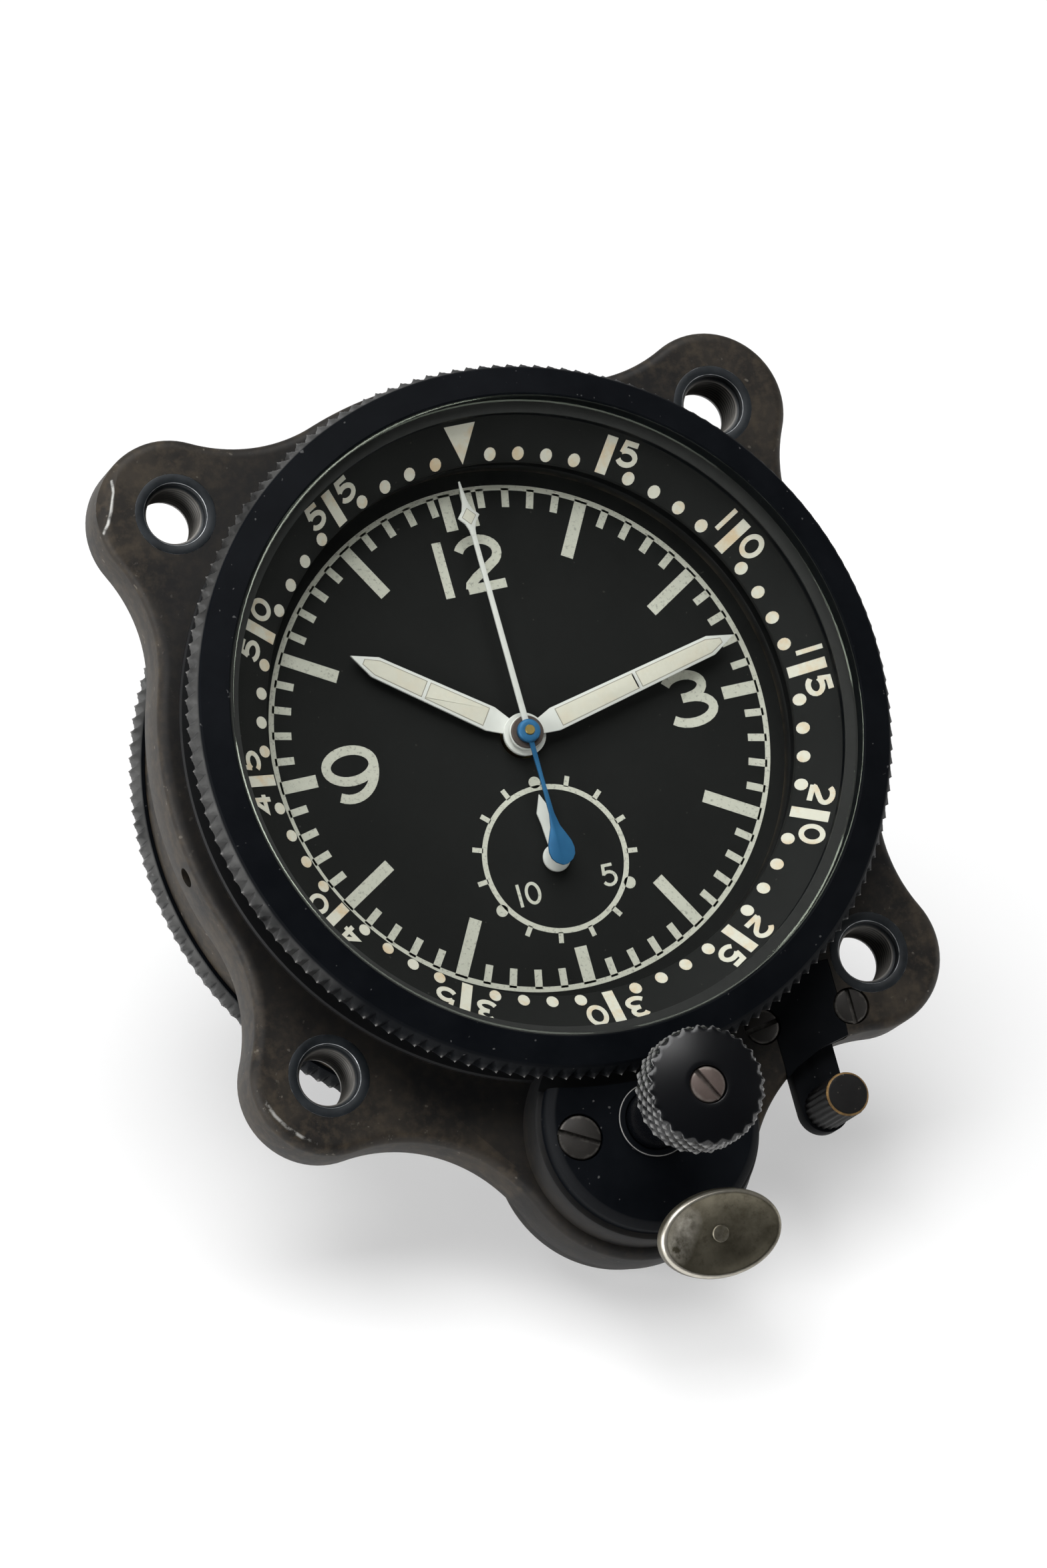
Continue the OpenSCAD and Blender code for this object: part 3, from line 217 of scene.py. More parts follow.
# %% [markdown]
# ## Black finishes
# The case is light metal under a thin black coat that has gone brown. It is satin, a little cloudy, and
# holds specks of dust. Where hands and panels rubbed, along the front edge, the coat has thinned and the
# metal shines through. A picture wrapped round the case could show that. Noise on Object coordinates needs
# no unwrapping and stays sharp up close, so it is used here. Marks on the mesh's points say where the edges
# are. The bare places on the two left ears are paths of points, and the finish works out how far each spot
# of the surface is from them.

# %% Case finish
CRESCENT = ((-27.96, 27.35, -0.3), (-28.2, 26.4, 0.0), (-28.77, 24.9, 0.0), (-29.3, 23.9, -0.05),
            (-29.75, 23.3, -0.3))
RUBBED = ((-29.3, -24.4, -0.05), (-28.8, -25.75, -0.05), (-28.1, -26.85, -0.05), (-27.1, -27.9, -0.05),
          (-26.0, -28.65, -0.05))
NICK = ((-28.5, -27.4, -1.3), (-27.4, -28.4, -1.3))


def case_finish():
    f = Finish("case_black")
    cloud = f.noise(170.0, 4.0, 0.6)
    mottle = f.noise(1000.0, 4.0, 0.65)
    grain = f.noise(2600.0, 3.0, 0.6)
    speck = f.ramp(f.noise(1500.0, 1.0), 0.74, 0.78)
    fleck = f.ramp(f.mark("edge") * 0.4 + f.noise(1200.0, 4.0, 0.7) * 0.6, 0.78, 0.86)
    filed = f.scratches(CRESCENT, 0.17) * f.ramp(mottle, 0.3, 0.55)
    thinned = f.scratches(RUBBED, 0.18) * f.ramp(mottle, 0.45, 0.6) * 0.7
    bare = filed.largest(thinned).largest(f.scratches(NICK, 0.14))
    coat = f.mix((0.0085, 0.0075, 0.0066), (0.03, 0.0245, 0.0185), f.ramp(cloud, 0.36, 0.66))
    coat = f.mix(coat, (0.05, 0.0385, 0.0255), f.ramp(mottle, 0.45, 0.65) * 0.6)
    coat = f.mix(coat, (0.2, 0.18, 0.15), (speck * 0.4).largest(fleck * 0.6))
    x, back, y = [f.axis(name) for name in "XYZ"]
    from_axis = (x * x + y * y) ** 0.5
    # Painted shade: the front of the case darkens within about 32 to 36 mm of the axis, where the bezel
    # shades it.
    painted_shade_near_bezel = f.ramp(from_axis + 0.003 * cloud, 0.0365, 0.0315) * f.ramp(back, 0.0006, 0.0)
    coat = f.mix(coat, (0.0055, 0.0056, 0.006), painted_shade_near_bezel * 0.75)
    # Painted shade: where the boss mark is set, on the collar, the boss and the lobe, the coat is darkened.
    coat = f.mix(coat, (0.0045, 0.005, 0.0058), f.mark("boss") * 0.85)
    coat = f.mix(coat, (0.42, 0.42, 0.4), bare)
    rough = 0.42 + 0.14 * cloud + 0.1 * grain
    bump = f.bump(grain + 0.6 * mottle, 0.35, 0.00002)
    return f.surface(coat, rough, 0.4 * bare, bump, Specular_IOR_Level=0.2)


CASE = case_finish()

# %% [markdown]
# The bezel, the plate over the winding gear and the strip over the slide are blued to a deep blue-black,
# smoother than the case, and the tips of the teeth are rubbed to grey. The flanks of the teeth turn grey on
# the upper left, partly worn and partly a painted sheen on the side towards the light. The knob is polished,
# and the finger pin is worn through to brass round its rim. Each has its own finish, because their gloss
# differs more than their colour.

# %% Bezel, knob and pin finishes


def bezel_finish():
    f = Finish("bezel_black")
    cloud = f.noise(240.0, 3.0, 0.6)
    grain = f.noise(3800.0, 2.0, 0.6)
    edge = f.mark("edge")
    teeth = f.mark("teeth")
    tip = f.ramp(edge + 0.5 * f.noise(700.0, 3.0, 0.7), 0.85, 1.3)
    dust = f.ramp(f.noise(1900.0, 1.0), 0.75, 0.78)
    coat = f.mix((0.0018, 0.0024, 0.0035), (0.0034, 0.0042, 0.0056), f.ramp(cloud, 0.35, 0.7))
    coat = f.mix(coat, (0.016, 0.0165, 0.0175), f.ramp(edge, 0.1, 0.6))
    # Painted sheen: the marked flanks turn grey and metallic, most on the upper left, towards the light;
    # partly real wear.
    coat = f.mix(coat, (0.085, 0.085, 0.083), teeth * f.ramp(cloud, 0.2, 0.6))
    coat = f.mix(coat, (0.3, 0.295, 0.285), tip)
    coat = f.mix(coat, (0.25, 0.25, 0.25), dust * 0.22)
    rough = 0.42 + 0.12 * cloud + 0.08 * grain - 0.08 * teeth
    metal = (0.8 * teeth).largest(0.25 * tip)
    return f.surface(coat, rough, metal, f.bump(grain, 0.2, 0.000012), Specular_IOR_Level=0.035)


def knob_finish():
    f = Finish("knob_black")
    cloud = f.noise(300.0, 3.0, 0.6)
    scratch = f.ramp(f.stretched((900.0, 900.0, 140.0), 2.0, 3.0), 0.66, 0.76)
    tip = f.ramp(f.mark("edge") + 0.6 * f.noise(800.0, 4.0, 0.7), 0.9, 1.4)
    coat = f.mix((0.0006, 0.0008, 0.0014), (0.0014, 0.0018, 0.0028), cloud)
    coat = f.mix(coat, (0.02, 0.02, 0.021), scratch * 0.1)
    coat = f.mix(coat, (0.22, 0.22, 0.215), tip)
    rough = 0.24 + 0.04 * cloud + 0.16 * tip
    bump = f.bump(f.noise(3000.0, 2.0), 0.12, 0.00001)
    return f.surface(coat, rough, 0.35 * tip, bump, Specular_IOR_Level=0.5)


def pin_finish():
    f = Finish("pin_black")
    cloud = f.noise(700.0, 4.0, 0.7)
    rim = f.ramp(f.mark("edge") + 0.45 * cloud, 0.95, 1.3)
    nick = f.ramp(f.noise(2200.0, 3.0, 0.7), 0.66, 0.74)
    coat = f.mix((0.004, 0.004, 0.0043), (0.011, 0.0105, 0.01), cloud)
    coat = f.mix(coat, (0.2, 0.18, 0.15), nick * 0.5)
    coat = f.mix(coat, (0.42, 0.25, 0.09), rim)
    bump = f.bump(f.noise(2600.0, 3.0), 0.3, 0.00002)
    return f.surface(coat, 0.4 + 0.16 * cloud, 0.6 * rim, bump, Specular_IOR_Level=0.15)


BEZEL = bezel_finish()
KNOB = knob_finish()
PIN = pin_finish()

# %% [markdown]
# ## Bare metals
# The inserts are blued steel with a bright chamfer, the screws are turned steel gone dull, and the pad is
# tarnished nickel, polished on its lip by thumbs. Its lip is lighter on the left, a painted highlight, and
# its lower end darker, a painted shade. The wheels inside are brass and steel. One function with two
# colours serves the screws, and another the plain metals inside, because only their tints differ.

# %% Bare metals


def insert_finish():
    f = Finish("insert_steel")
    cloud = f.noise(420.0, 4.0, 0.65)
    bright = f.ramp(f.mark("edge") + 0.7 * f.noise(900.0, 3.0, 0.7), 1.05, 1.45)
    thread = f.ramp(f.mark("thread") + 0.3 * cloud, 0.5, 1.2)
    colour = f.mix((0.006, 0.008, 0.01), (0.019, 0.023, 0.027), f.ramp(cloud, 0.32, 0.68))
    colour = f.mix(colour, (0.3, 0.28, 0.25), thread * 0.6)
    colour = f.mix(colour, (0.6, 0.62, 0.64), bright)
    bump = f.bump(f.noise(3000.0, 3.0), 0.3, 0.000015)
    return f.surface(colour, 0.38 + 0.2 * cloud, 0.2 + 0.6 * bright, bump, Specular_IOR_Level=0.3)


def screw_finish(name, dark, light):
    f = Finish(name)
    cloud = f.noise(600.0, 4.0, 0.7)
    grain = f.stretched((3000.0, 3000.0, 500.0), 2.0, 3.0)
    edge = f.ramp(f.mark("edge") + 0.6 * cloud, 1.0, 1.45)
    colour = f.mix(dark, light, cloud)
    colour = f.mix(colour, (0.34, 0.32, 0.29), edge)
    return f.surface(colour, 0.42 + 0.18 * grain, 0.5, f.bump(grain, 0.3, 0.00001))


def nickel_finish():
    f = Finish("pad_nickel")
    cloud = f.noise(330.0, 5.0, 0.65)
    fine = f.noise(1700.0, 4.0, 0.7)
    polished_lip_and_highlight = f.ramp(f.mark("edge") + 0.4 * fine, 0.7, 1.25)
    colour = f.mix((0.075, 0.066, 0.044), (0.215, 0.195, 0.145), f.ramp(cloud, 0.34, 0.66))
    colour = f.mix(colour, (0.06, 0.052, 0.036), f.ramp(fine, 0.54, 0.72) * 0.6)
    # Painted shade: the pad darkens towards its lower end.
    colour = f.mix(colour, (0.05, 0.045, 0.032), f.ramp(f.axis("Z"), -0.0435, -0.0465) * 0.7)
    thumbed = f.scratch((-3.9, -44.9, 13.0), (-2.7, -43.2, 13.4), 1.5)
    worn = thumbed * f.ramp(cloud + 0.4 * fine, 0.5, 0.85)
    colour = f.mix(colour, (0.56, 0.53, 0.46), polished_lip_and_highlight.largest(worn))
    return f.surface(colour, 0.34 + 0.2 * cloud - 0.08 * polished_lip_and_highlight, 0.9, f.bump(fine + cloud, 0.35, 0.00002))


def plain_metal(name, dark, light, rough):
    f = Finish(name)
    cloud = f.noise(380.0, 4.0, 0.6)
    grain = f.stretched((400.0, 2600.0, 2600.0), 1.0, 2.0)
    colour = f.mix(dark, light, f.ramp(cloud, 0.3, 0.7))
    return f.surface(colour, rough + 0.14 * grain, 0.95, f.bump(grain, 0.25, 0.00001))


def rubber_finish():
    f = Finish("seal_rubber")
    grain = f.noise(1800.0, 3.0)
    colour = f.mix((0.012, 0.012, 0.012), (0.03, 0.03, 0.03), grain)
    return f.surface(colour, 0.7 + 0.15 * grain, 0.0, f.bump(grain, 0.3, 0.00002))


INSERT = insert_finish()
SCREW = screw_finish("screw_steel", (0.011, 0.01, 0.009), (0.042, 0.038, 0.034))
COPPERY = screw_finish("screw_coppery", (0.066, 0.049, 0.043), (0.125, 0.095, 0.084))
NICKEL = nickel_finish()
BRASS = plain_metal("movement_brass", (0.42, 0.29, 0.09), (0.62, 0.46, 0.17), 0.3)
STEEL = plain_metal("spring_steel", (0.3, 0.3, 0.3), (0.52, 0.52, 0.52), 0.28)
ALUMINIUM = plain_metal("ring_aluminium", (0.42, 0.42, 0.42), (0.6, 0.6, 0.6), 0.36)
RUBBER = rubber_finish()

# %% [markdown]
# ## Dial colours
# The dial is matt black. Its print has yellowed to a grey cream with pinholes. The marks under the bezel
# and on the hands hold old luminous paint, cream with orange stains where it has aged. Print and paint
# could be drawn by the shader too, but as thin pieces of their own they keep their edges as geometry.

# %% Dial colours


def dial_finish():
    f = Finish("dial_black")
    cloud = f.noise(120.0, 3.0)
    grain = f.noise(5200.0, 2.0)
    dust = f.ramp(f.noise(2300.0, 1.0), 0.77, 0.8)
    colour = f.mix((0.0085, 0.0088, 0.0088), (0.0135, 0.0138, 0.0136), cloud)
    colour = f.mix(colour, (0.1, 0.1, 0.09), dust * 0.3)
    bump = f.bump(grain, 0.2, 0.00001)
    return f.surface(colour, 0.62 + 0.1 * grain, 0.0, bump, Specular_IOR_Level=0.12)


def print_finish():
    f = Finish("dial_print")
    cloud = f.noise(700.0, 4.0, 0.7)
    pinhole = f.ramp(f.noise(3600.0, 3.0, 0.7), 0.56, 0.68)
    colour = f.mix((0.58, 0.575, 0.49), (0.72, 0.71, 0.625), cloud)
    colour = f.mix(colour, (0.2, 0.195, 0.165), pinhole * 0.6)
    return f.surface(colour, 0.8, 0.0, f.bump(pinhole, 0.3, 0.00001))


def lume_finish(name, stained):
    f = Finish(name)
    stain = f.ramp(f.noise(420.0, 4.0, 0.7), 0.48, 0.68)
    grain = f.noise(3400.0, 4.0, 0.7)
    line = f.ramp(f.mark("edge"), 0.25, 0.8)
    colour = f.mix((0.62, 0.59, 0.5), (0.74, 0.715, 0.63), grain)
    colour = f.mix(colour, (0.66, 0.45, 0.23), stain * stained)
    colour = f.mix(colour, (0.2, 0.18, 0.14), line * 0.9)
    return f.surface(colour, 0.85, 0.0, f.bump(grain, 0.5, 0.00003))


def hand_finish():
    f = Finish("hand_white")
    cloud = f.noise(520.0, 4.0, 0.7)
    spot = f.ramp(f.noise(1300.0, 3.0), 0.68, 0.76)
    colour = f.mix((0.66, 0.66, 0.63), (0.78, 0.78, 0.75), cloud)
    colour = f.mix(colour, (0.4, 0.36, 0.28), spot * 0.4)
    return f.surface(colour, 0.45 + 0.15 * cloud, 0.0, f.bump(cloud, 0.2, 0.00001))


def blue_finish():
    f = Finish("hand_blue")
    cloud = f.noise(500.0, 3.0)
    colour = f.mix((0.015, 0.1, 0.24), (0.035, 0.19, 0.4), cloud)
    return f.surface(colour, 0.4 + 0.12 * cloud, 0.35, f.bump(f.noise(2500.0), 0.2, 0.00001))


DIAL = dial_finish()
PRINT = print_finish()
LUME = lume_finish("lume_cream", 0.65)
PASTE = lume_finish("lume_pale", 0.15)
WHITE = hand_finish()
BLUE = blue_finish()

# %% [markdown]
# The glass is clear. A plain glass shader would keep lamplight from the dial, so this one lets light
# straight through and adds the reflection that glass has, more of it at a slant. It does so on the outside
# only: seen from within, the same slant would turn the glass into a mirror. The ground edge has a pale
# green tint.

# %% Glass finish


def glass_finish():
    f = Finish("clear_glass")
    smear = f.noise(90.0, 3.0)
    clear = f.node("ShaderNodeBsdfTransparent", inputs={"Color": (0.975, 0.985, 0.975)})
    gloss = f.node("ShaderNodeBsdfPrincipled", inputs={
        "Base Color": (0.5, 0.55, 0.46), "Roughness": 0.06 + 0.05 * smear, "Metallic": 1.0})
    slant = f.node("ShaderNodeFresnel", inputs={"IOR": 1.48})
    inside = f.node("ShaderNodeNewGeometry", output="Backfacing")
    share = slant * 0.75 * (1 - inside) + 0.12 * f.mark("edge")
    both = f.node("ShaderNodeMixShader", inputs={0: share, 1: clear, 2: gloss})
    f.node("ShaderNodeOutputMaterial", inputs={"Surface": both})
    return f.material


GLASS = glass_finish()

# %% [markdown]
# ## Making meshes
# Most pieces are turned on a lathe or cut from plate, so three helpers make them: `lathe` turns a profile,
# `stack` joins rings of points into a solid, and `carve` cuts one solid with others. `solid` closes seams,
# turns the faces outwards and shades the result smooth with crisp edges. Blender's Screw modifier could
# turn a profile too, but a function can also change the radius by angle, which the teeth and the knurl
# need.

# %% Mesh helpers
SHARP = 32.0
SEAM = 2e-7
BEVEL_FROM = 40.0


def polar(r, angle):
    return (r * math.cos(math.radians(angle)), r * math.sin(math.radians(angle)))


def dress(obj, material, sharp=SHARP):
    obj.data.materials.clear()
    obj.data.materials.append(material)
    obj.data.shade_smooth()
    obj.data.set_sharp_from_angle(angle=math.radians(sharp))
    return obj


def solid(name, points, faces, material, sharp=SHARP):
    mesh = bpy.data.meshes.new(name)
    mesh.from_pydata([to_row(p) for p in points], [], faces)
    work = bmesh.new()
    work.from_mesh(mesh)
    bmesh.ops.remove_doubles(work, verts=work.verts, dist=SEAM)
    bmesh.ops.recalc_face_normals(work, faces=work.faces)
    work.to_mesh(mesh)
    work.free()
    obj = bpy.data.objects.new(name, mesh)
    scene.collection.objects.link(obj)
    return dress(obj, material, sharp)


def lathe(name, profile, material, steps=160, centre=(0.0, 0.0), shape=None, sharp=SHARP):
    """Turns a profile of (radius, height) about an axis along z. A shape may change the radius by angle."""
    count = len(profile)
    on_axis = profile[0][0] == 0 and profile[-1][0] == 0
    points = []
    faces = []
    for i in range(steps):
        angle = 2 * math.pi * i / steps
        for r, z in profile:
            wide = shape(r, z, angle) if shape else r
            points.append((centre[0] + wide * math.cos(angle), centre[1] + wide * math.sin(angle), z))
        j = (i + 1) % steps
        for k in range(count - 1 if on_axis else count):
            m = (k + 1) % count
            faces.append((i * count + k, j * count + k, j * count + m, i * count + m))
    return solid(name, points, faces, material, sharp)


def stack(name, rings, material, sharp=SHARP):
    """A solid through rings of as many points each, closed by a face at both ends."""
    count = len(rings[0])
    points = [p for ring in rings for p in ring]
    faces = [tuple(range(count)), tuple(range(len(points) - count, len(points)))]
    for k in range(len(rings) - 1):
        for i in range(count):
            j = (i + 1) % count
            faces.append((k * count + i, k * count + j, (k + 1) * count + j, (k + 1) * count + i))
    return solid(name, points, faces, material, sharp)


def rod(r, low, high, centre=(0.0, 0.0), steps=64):
    return lathe("tool", [(0, low), (r, low), (r, high), (0, high)], CASE, steps, centre)


def block(x0, x1, y0, y1, z0, z1):
    corners = [(x0, y0), (x1, y0), (x1, y1), (x0, y1)]
    return stack("tool", [[(x, y, z) for x, y in corners] for z in (z0, z1)], CASE)


def plain_mesh(obj):
    """Bakes an object's modifiers into its mesh."""
    graph = bpy.context.evaluated_depsgraph_get()
    mesh = bpy.data.meshes.new_from_object(obj.evaluated_get(graph))
    obj.modifiers.clear()
    old = obj.data
    obj.data = mesh
    bpy.data.meshes.remove(old)
    return obj


def carve(obj, tools, operation="DIFFERENCE", sharp=SHARP):
    for tool in tools:
        cut = obj.modifiers.new("cut", "BOOLEAN")
        cut.operation = operation
        cut.solver = "EXACT"
        cut.object = tool
    material = obj.data.materials[0]
    plain_mesh(obj)
    for tool in tools:
        bpy.data.objects.remove(tool)
    return dress(obj, material, sharp)


def round_edges(obj, width, material):
    """Rounds a mesh's crisp edges a little."""
    bevel = obj.modifiers.new("round", "BEVEL")
    bevel.width = width * MM
    bevel.segments = 2
    bevel.limit_method = "ANGLE"
    bevel.angle_limit = math.radians(BEVEL_FROM)
    plain_mesh(obj)
    return dress(obj, material)


def soften(node, name, width, material):
    """A copy of a CAD node with its seams merged and its edges rounded."""
    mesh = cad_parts[node].data.copy()
    work = bmesh.new()
    work.from_mesh(mesh)
    bmesh.ops.remove_doubles(work, verts=work.verts, dist=SEAM)
    bmesh.ops.dissolve_limit(work, angle_limit=math.radians(1.0), verts=work.verts, edges=work.edges)
    work.to_mesh(mesh)
    work.free()
    obj = bpy.data.objects.new(name, mesh)
    scene.collection.objects.link(obj)
    return round_edges(obj, width, material)


def set_mark(obj, name, rule):
    """Stores a number on each point, worked out from its place in millimetres."""
    values = []
    for v in obj.data.vertices:
        values.append(rule(v.co.x / MM, v.co.z / MM, -v.co.y / MM))
    store = obj.data.attributes.new(name, "FLOAT", "POINT")
    store.data.foreach_set("value", values)


def keep(obj, body, slot, *nodes):
    """Rides a finished piece on its body and lets it stand for its CAD nodes."""
    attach(obj, body)
    if nodes:
        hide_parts(*nodes)
    print(obj.name, "faces:", len(obj.data.polygons))
    return obj


# %% [markdown]
# ## Two trees for copies
# Minute dots, hour bars, screws and inserts repeat. One tree sets copies of a mark round an axis and can
# skip every nth. The other sets copies on the points of a mesh, each turned by its own angle. An Array
# modifier would do for a full ring, but it can't leave places out. Both trees end in real geometry.

# %% Geometry Nodes trees


def new_tree(name, sockets):
    tree = bpy.data.node_groups.new(name, "GeometryNodeTree")
    tree.interface.new_socket("Geometry", in_out="OUTPUT", socket_type="NodeSocketGeometry")
    for label, kind in sockets:
        tree.interface.new_socket(label, in_out="INPUT", socket_type=kind)
    entry = tree.nodes.new("NodeGroupInput")
    leave = tree.nodes.new("NodeGroupOutput")
    return tree, entry, leave


def join(tree, source, target):
    tree.links.new(source, target)


def number(tree, operation, first, second):
    made = tree.nodes.new("ShaderNodeMath")
    made.operation = operation
    for socket, value in zip(made.inputs, (first, second)):
        if isinstance(value, (int, float)):
            socket.default_value = value
        else:
            join(tree, value, socket)
    return made.outputs[0]


def set_copies(tree, entry, leave, points, angle):
    """Puts copies of the mark on points, turned about the dial's axis, and makes them real."""
    euler = tree.nodes.new("ShaderNodeCombineXYZ")
    join(tree, angle, euler.inputs["Y"])
    turned = tree.nodes.new("FunctionNodeEulerToRotation")
    join(tree, euler.outputs[0], turned.inputs[0])
    mark = tree.nodes.new("GeometryNodeObjectInfo")
    join(tree, entry.outputs["Mark"], mark.inputs["Object"])
    copies = tree.nodes.new("GeometryNodeInstanceOnPoints")
    join(tree, points, copies.inputs["Points"])
    join(tree, mark.outputs["Geometry"], copies.inputs["Instance"])
    join(tree, turned.outputs[0], copies.inputs["Rotation"])
    real = tree.nodes.new("GeometryNodeRealizeInstances")
    join(tree, copies.outputs[0], real.inputs[0])
    paint = tree.nodes.new("GeometryNodeSetMaterial")
    join(tree, real.outputs[0], paint.inputs["Geometry"])
    join(tree, entry.outputs["Finish"], paint.inputs["Material"])
    join(tree, paint.outputs[0], leave.inputs[0])
    return copies


def ring_tree():
    tree, entry, leave = new_tree("marks_round_an_axis", [
        ("Geometry", "NodeSocketGeometry"), ("Mark", "NodeSocketObject"), ("Count", "NodeSocketInt"),
        ("Skip", "NodeSocketInt"), ("First", "NodeSocketInt"), ("Turn", "NodeSocketFloat"),
        ("Centre", "NodeSocketVector"), ("Finish", "NodeSocketMaterial")])
    spots = tree.nodes.new("GeometryNodePoints")
    join(tree, entry.outputs["Count"], spots.inputs["Count"])
    join(tree, entry.outputs["Centre"], spots.inputs["Position"])
    index = tree.nodes.new("GeometryNodeInputIndex").outputs[0]
    step = number(tree, "DIVIDE", 2 * math.pi, entry.outputs["Count"])
    angle = number(tree, "ADD", number(tree, "MULTIPLY", index, step), entry.outputs["Turn"])
    place = number(tree, "ADD", index, entry.outputs["First"])
    wanted = number(tree, "GREATER_THAN", number(tree, "MODULO", place, entry.outputs["Skip"]), 0.5)
    copies = set_copies(tree, entry, leave, spots.outputs[0], angle)
    join(tree, wanted, copies.inputs["Selection"])
    return tree


def place_tree():
    tree, entry, leave = new_tree("copies_at_places", [
        ("Geometry", "NodeSocketGeometry"), ("Mark", "NodeSocketObject"), ("Finish", "NodeSocketMaterial")])
    turn = tree.nodes.new("GeometryNodeInputNamedAttribute")
    turn.data_type = "FLOAT"
    turn.inputs["Name"].default_value = "turn"
    set_copies(tree, entry, leave, entry.outputs["Geometry"], turn.outputs["Attribute"])
    return tree


RING = ring_tree()
PLACES = place_tree()
print("trees:", RING.name, PLACES.name)

# %% Copies as plain meshes
NEVER = 1000


def grow(name, tree, base, mark, material, **inputs):
    """Runs a tree on a base mesh and keeps the result as a plain mesh."""
    obj = bpy.data.objects.new(name, base)
    scene.collection.objects.link(obj)
    run = obj.modifiers.new("copies", "NODES")
    run.node_group = tree
    values = dict(inputs, Mark=mark, Finish=material)
    for item in tree.interface.items_tree:
        if item.item_type == "SOCKET" and item.in_out == "INPUT" and item.name in values:
            run[item.identifier] = values[item.name]
    plain_mesh(obj)
    bpy.data.objects.remove(mark)
    return dress(obj, material)


def ring_of(name, mark, material, count, skip=NEVER, first=1, turn=0.0, centre=(0.0, 0.0)):
    """Copies of a mark round an axis, less those whose number plus first divides by skip.

    The topmost has the number 0, so with first=0 it is always left out.
    """
    return grow(name, RING, bpy.data.meshes.new(name), mark, material, Count=count, Skip=skip, First=first,
                Turn=math.radians(turn), Centre=to_row((centre[0], centre[1], 0.0)))


def copies_at(name, mark, material, places):
    """Copies of a mark at (x, y, z, angle), the angle clockwise in degrees."""
    base = bpy.data.meshes.new(name)
    base.from_pydata([to_row(p[:3]) for p in places], [], [])
    store = base.attributes.new("turn", "FLOAT", "POINT")
    store.data.foreach_set("value", [math.radians(p[3]) for p in places])
    return grow(name, PLACES, base, mark, material)


# %% [markdown]
# ## The case
# The flange is a plate with four ears, a round waist and a lobe below, all joined by hollows. Its outline
# is a chain of arcs, each touching the next. Rings of that outline, drawn in step by step towards the
# front, give the rounded edge. A bevel over the finished case would round the channel and the holes too,
# which are sharp. Boss, collar and drum are turned and joined to it, and the bore, the channel and the
# holes are cut out.

# %% Case outline
HOLE = 23.6
CENTRE = (0.0, 0.0)
WINDING = (0.0, -33.6)
FLANGE_R = 30.42
EAR_R = 6.35
LOBE_R = 10.3
BLEND = 13.0
POINT_GAP = 0.55
EARS = {45: (HOLE, HOLE), 135: (-HOLE, HOLE), 225: (-HOLE, -HOLE), 315: (HOLE, -HOLE)}


def heading(a, b):
    return math.degrees(math.atan2(b[1] - a[1], b[0] - a[0]))


def meet(a, ra, b, rb, side):
    """Where two circles cross, on one side of the line between their centres."""
    d = math.dist(a, b)
    u = ((b[0] - a[0]) / d, (b[1] - a[1]) / d)
    along = (ra * ra - rb * rb + d * d) / (2 * d)
    off = side * math.sqrt(ra * ra - along * along)
    return (a[0] + along * u[0] - off * u[1], a[1] + along * u[1] + off * u[0])


def hollow(k, side):
    centre = meet(CENTRE, FLANGE_R + BLEND, EARS[k], EAR_R + BLEND, side)
    return (centre, BLEND, -1)


def lobe_hollow(side):
    centre = meet(WINDING, LOBE_R + BLEND, EARS[270 + side * 45], EAR_R + BLEND, -side)
    return (centre, BLEND, -1)


WAIST = (CENTRE, FLANGE_R, 1)
STOPS = []
for k in (45, 135):
    STOPS += [hollow(k, -1), (EARS[k], EAR_R, 1), hollow(k, 1), WAIST]
STOPS += [hollow(225, -1), (EARS[225], EAR_R, 1), lobe_hollow(-1), (WINDING, LOBE_R, 1)]
STOPS += [lobe_hollow(1), (EARS[315], EAR_R, 1), hollow(315, 1), WAIST]


def flange_ring(inset, z):
    """The outline as points about half a millimetre apart, drawn in by inset."""
    points = []
    for i, (c, r, sign) in enumerate(STOPS):
        start = heading(c, STOPS[i - 1][0])
        sweep = (heading(c, STOPS[(i + 1) % len(STOPS)][0]) - start + 180) % 360 - 180
        n = max(4, math.ceil(abs(math.radians(sweep)) * r / POINT_GAP))
        for k in range(n):
            x, y = polar(r - sign * inset, start + sweep * k / n)
            points.append((c[0] + x, c[1] + y, z))
    return points


print("outline: arcs", len(STOPS), "points", len(flange_ring(0.0, 0.0)))

# %% Case solid
CRISP = 40.0
EDGE = 0.8
FLANGE_BACK = -5.0
DRUM_BACK = -19.2
DRUM_R = 27.5
STEP_R = 28.8
COLLAR_R = 27.25
COLLAR_TOP = 5.0
GROOVE_R = 26.85
BORE_R = 26.3
LEDGE_R = 22.4
DIAL_Z = -0.8
BOSS_R = 9.4
PLATE_Z = 3.4
BEZEL_ROOM = 30.17
SLIDE_X = 16.9
STRIP_PLACES = [(SLIDE_X - 3.95, -27.57), (SLIDE_X + 3.95, -27.57)]
flange_rings = []
for inset, z in ((0.3, FLANGE_BACK), (0.08, -4.9), (0.0, -4.65), (0.0, -2.6)):
    flange_rings.append(flange_ring(inset, z))
for step in range(0, 91, 15):
    a = math.radians(step)
    flange_rings.append(flange_ring(EDGE * (1 - math.cos(a)), -EDGE + EDGE * math.sin(a)))
flange_rings.append(flange_ring(EDGE + 0.15, 0.0))
case = stack("case_shell", flange_rings, CASE, CRISP)
turned = lathe("tool", [
    (0, DRUM_BACK), (DRUM_R - 0.2, DRUM_BACK), (DRUM_R, DRUM_BACK + 0.2), (DRUM_R, -4.8), (STEP_R, -4.8),
    (STEP_R, 0.35), (STEP_R - 0.15, 0.5), (COLLAR_R, 0.5), (COLLAR_R, 3.95), (GROOVE_R, 3.95),
    (GROOVE_R, 4.85), (COLLAR_R, 4.85), (COLLAR_R - 0.15, COLLAR_TOP), (0, COLLAR_TOP)], CASE, 224)
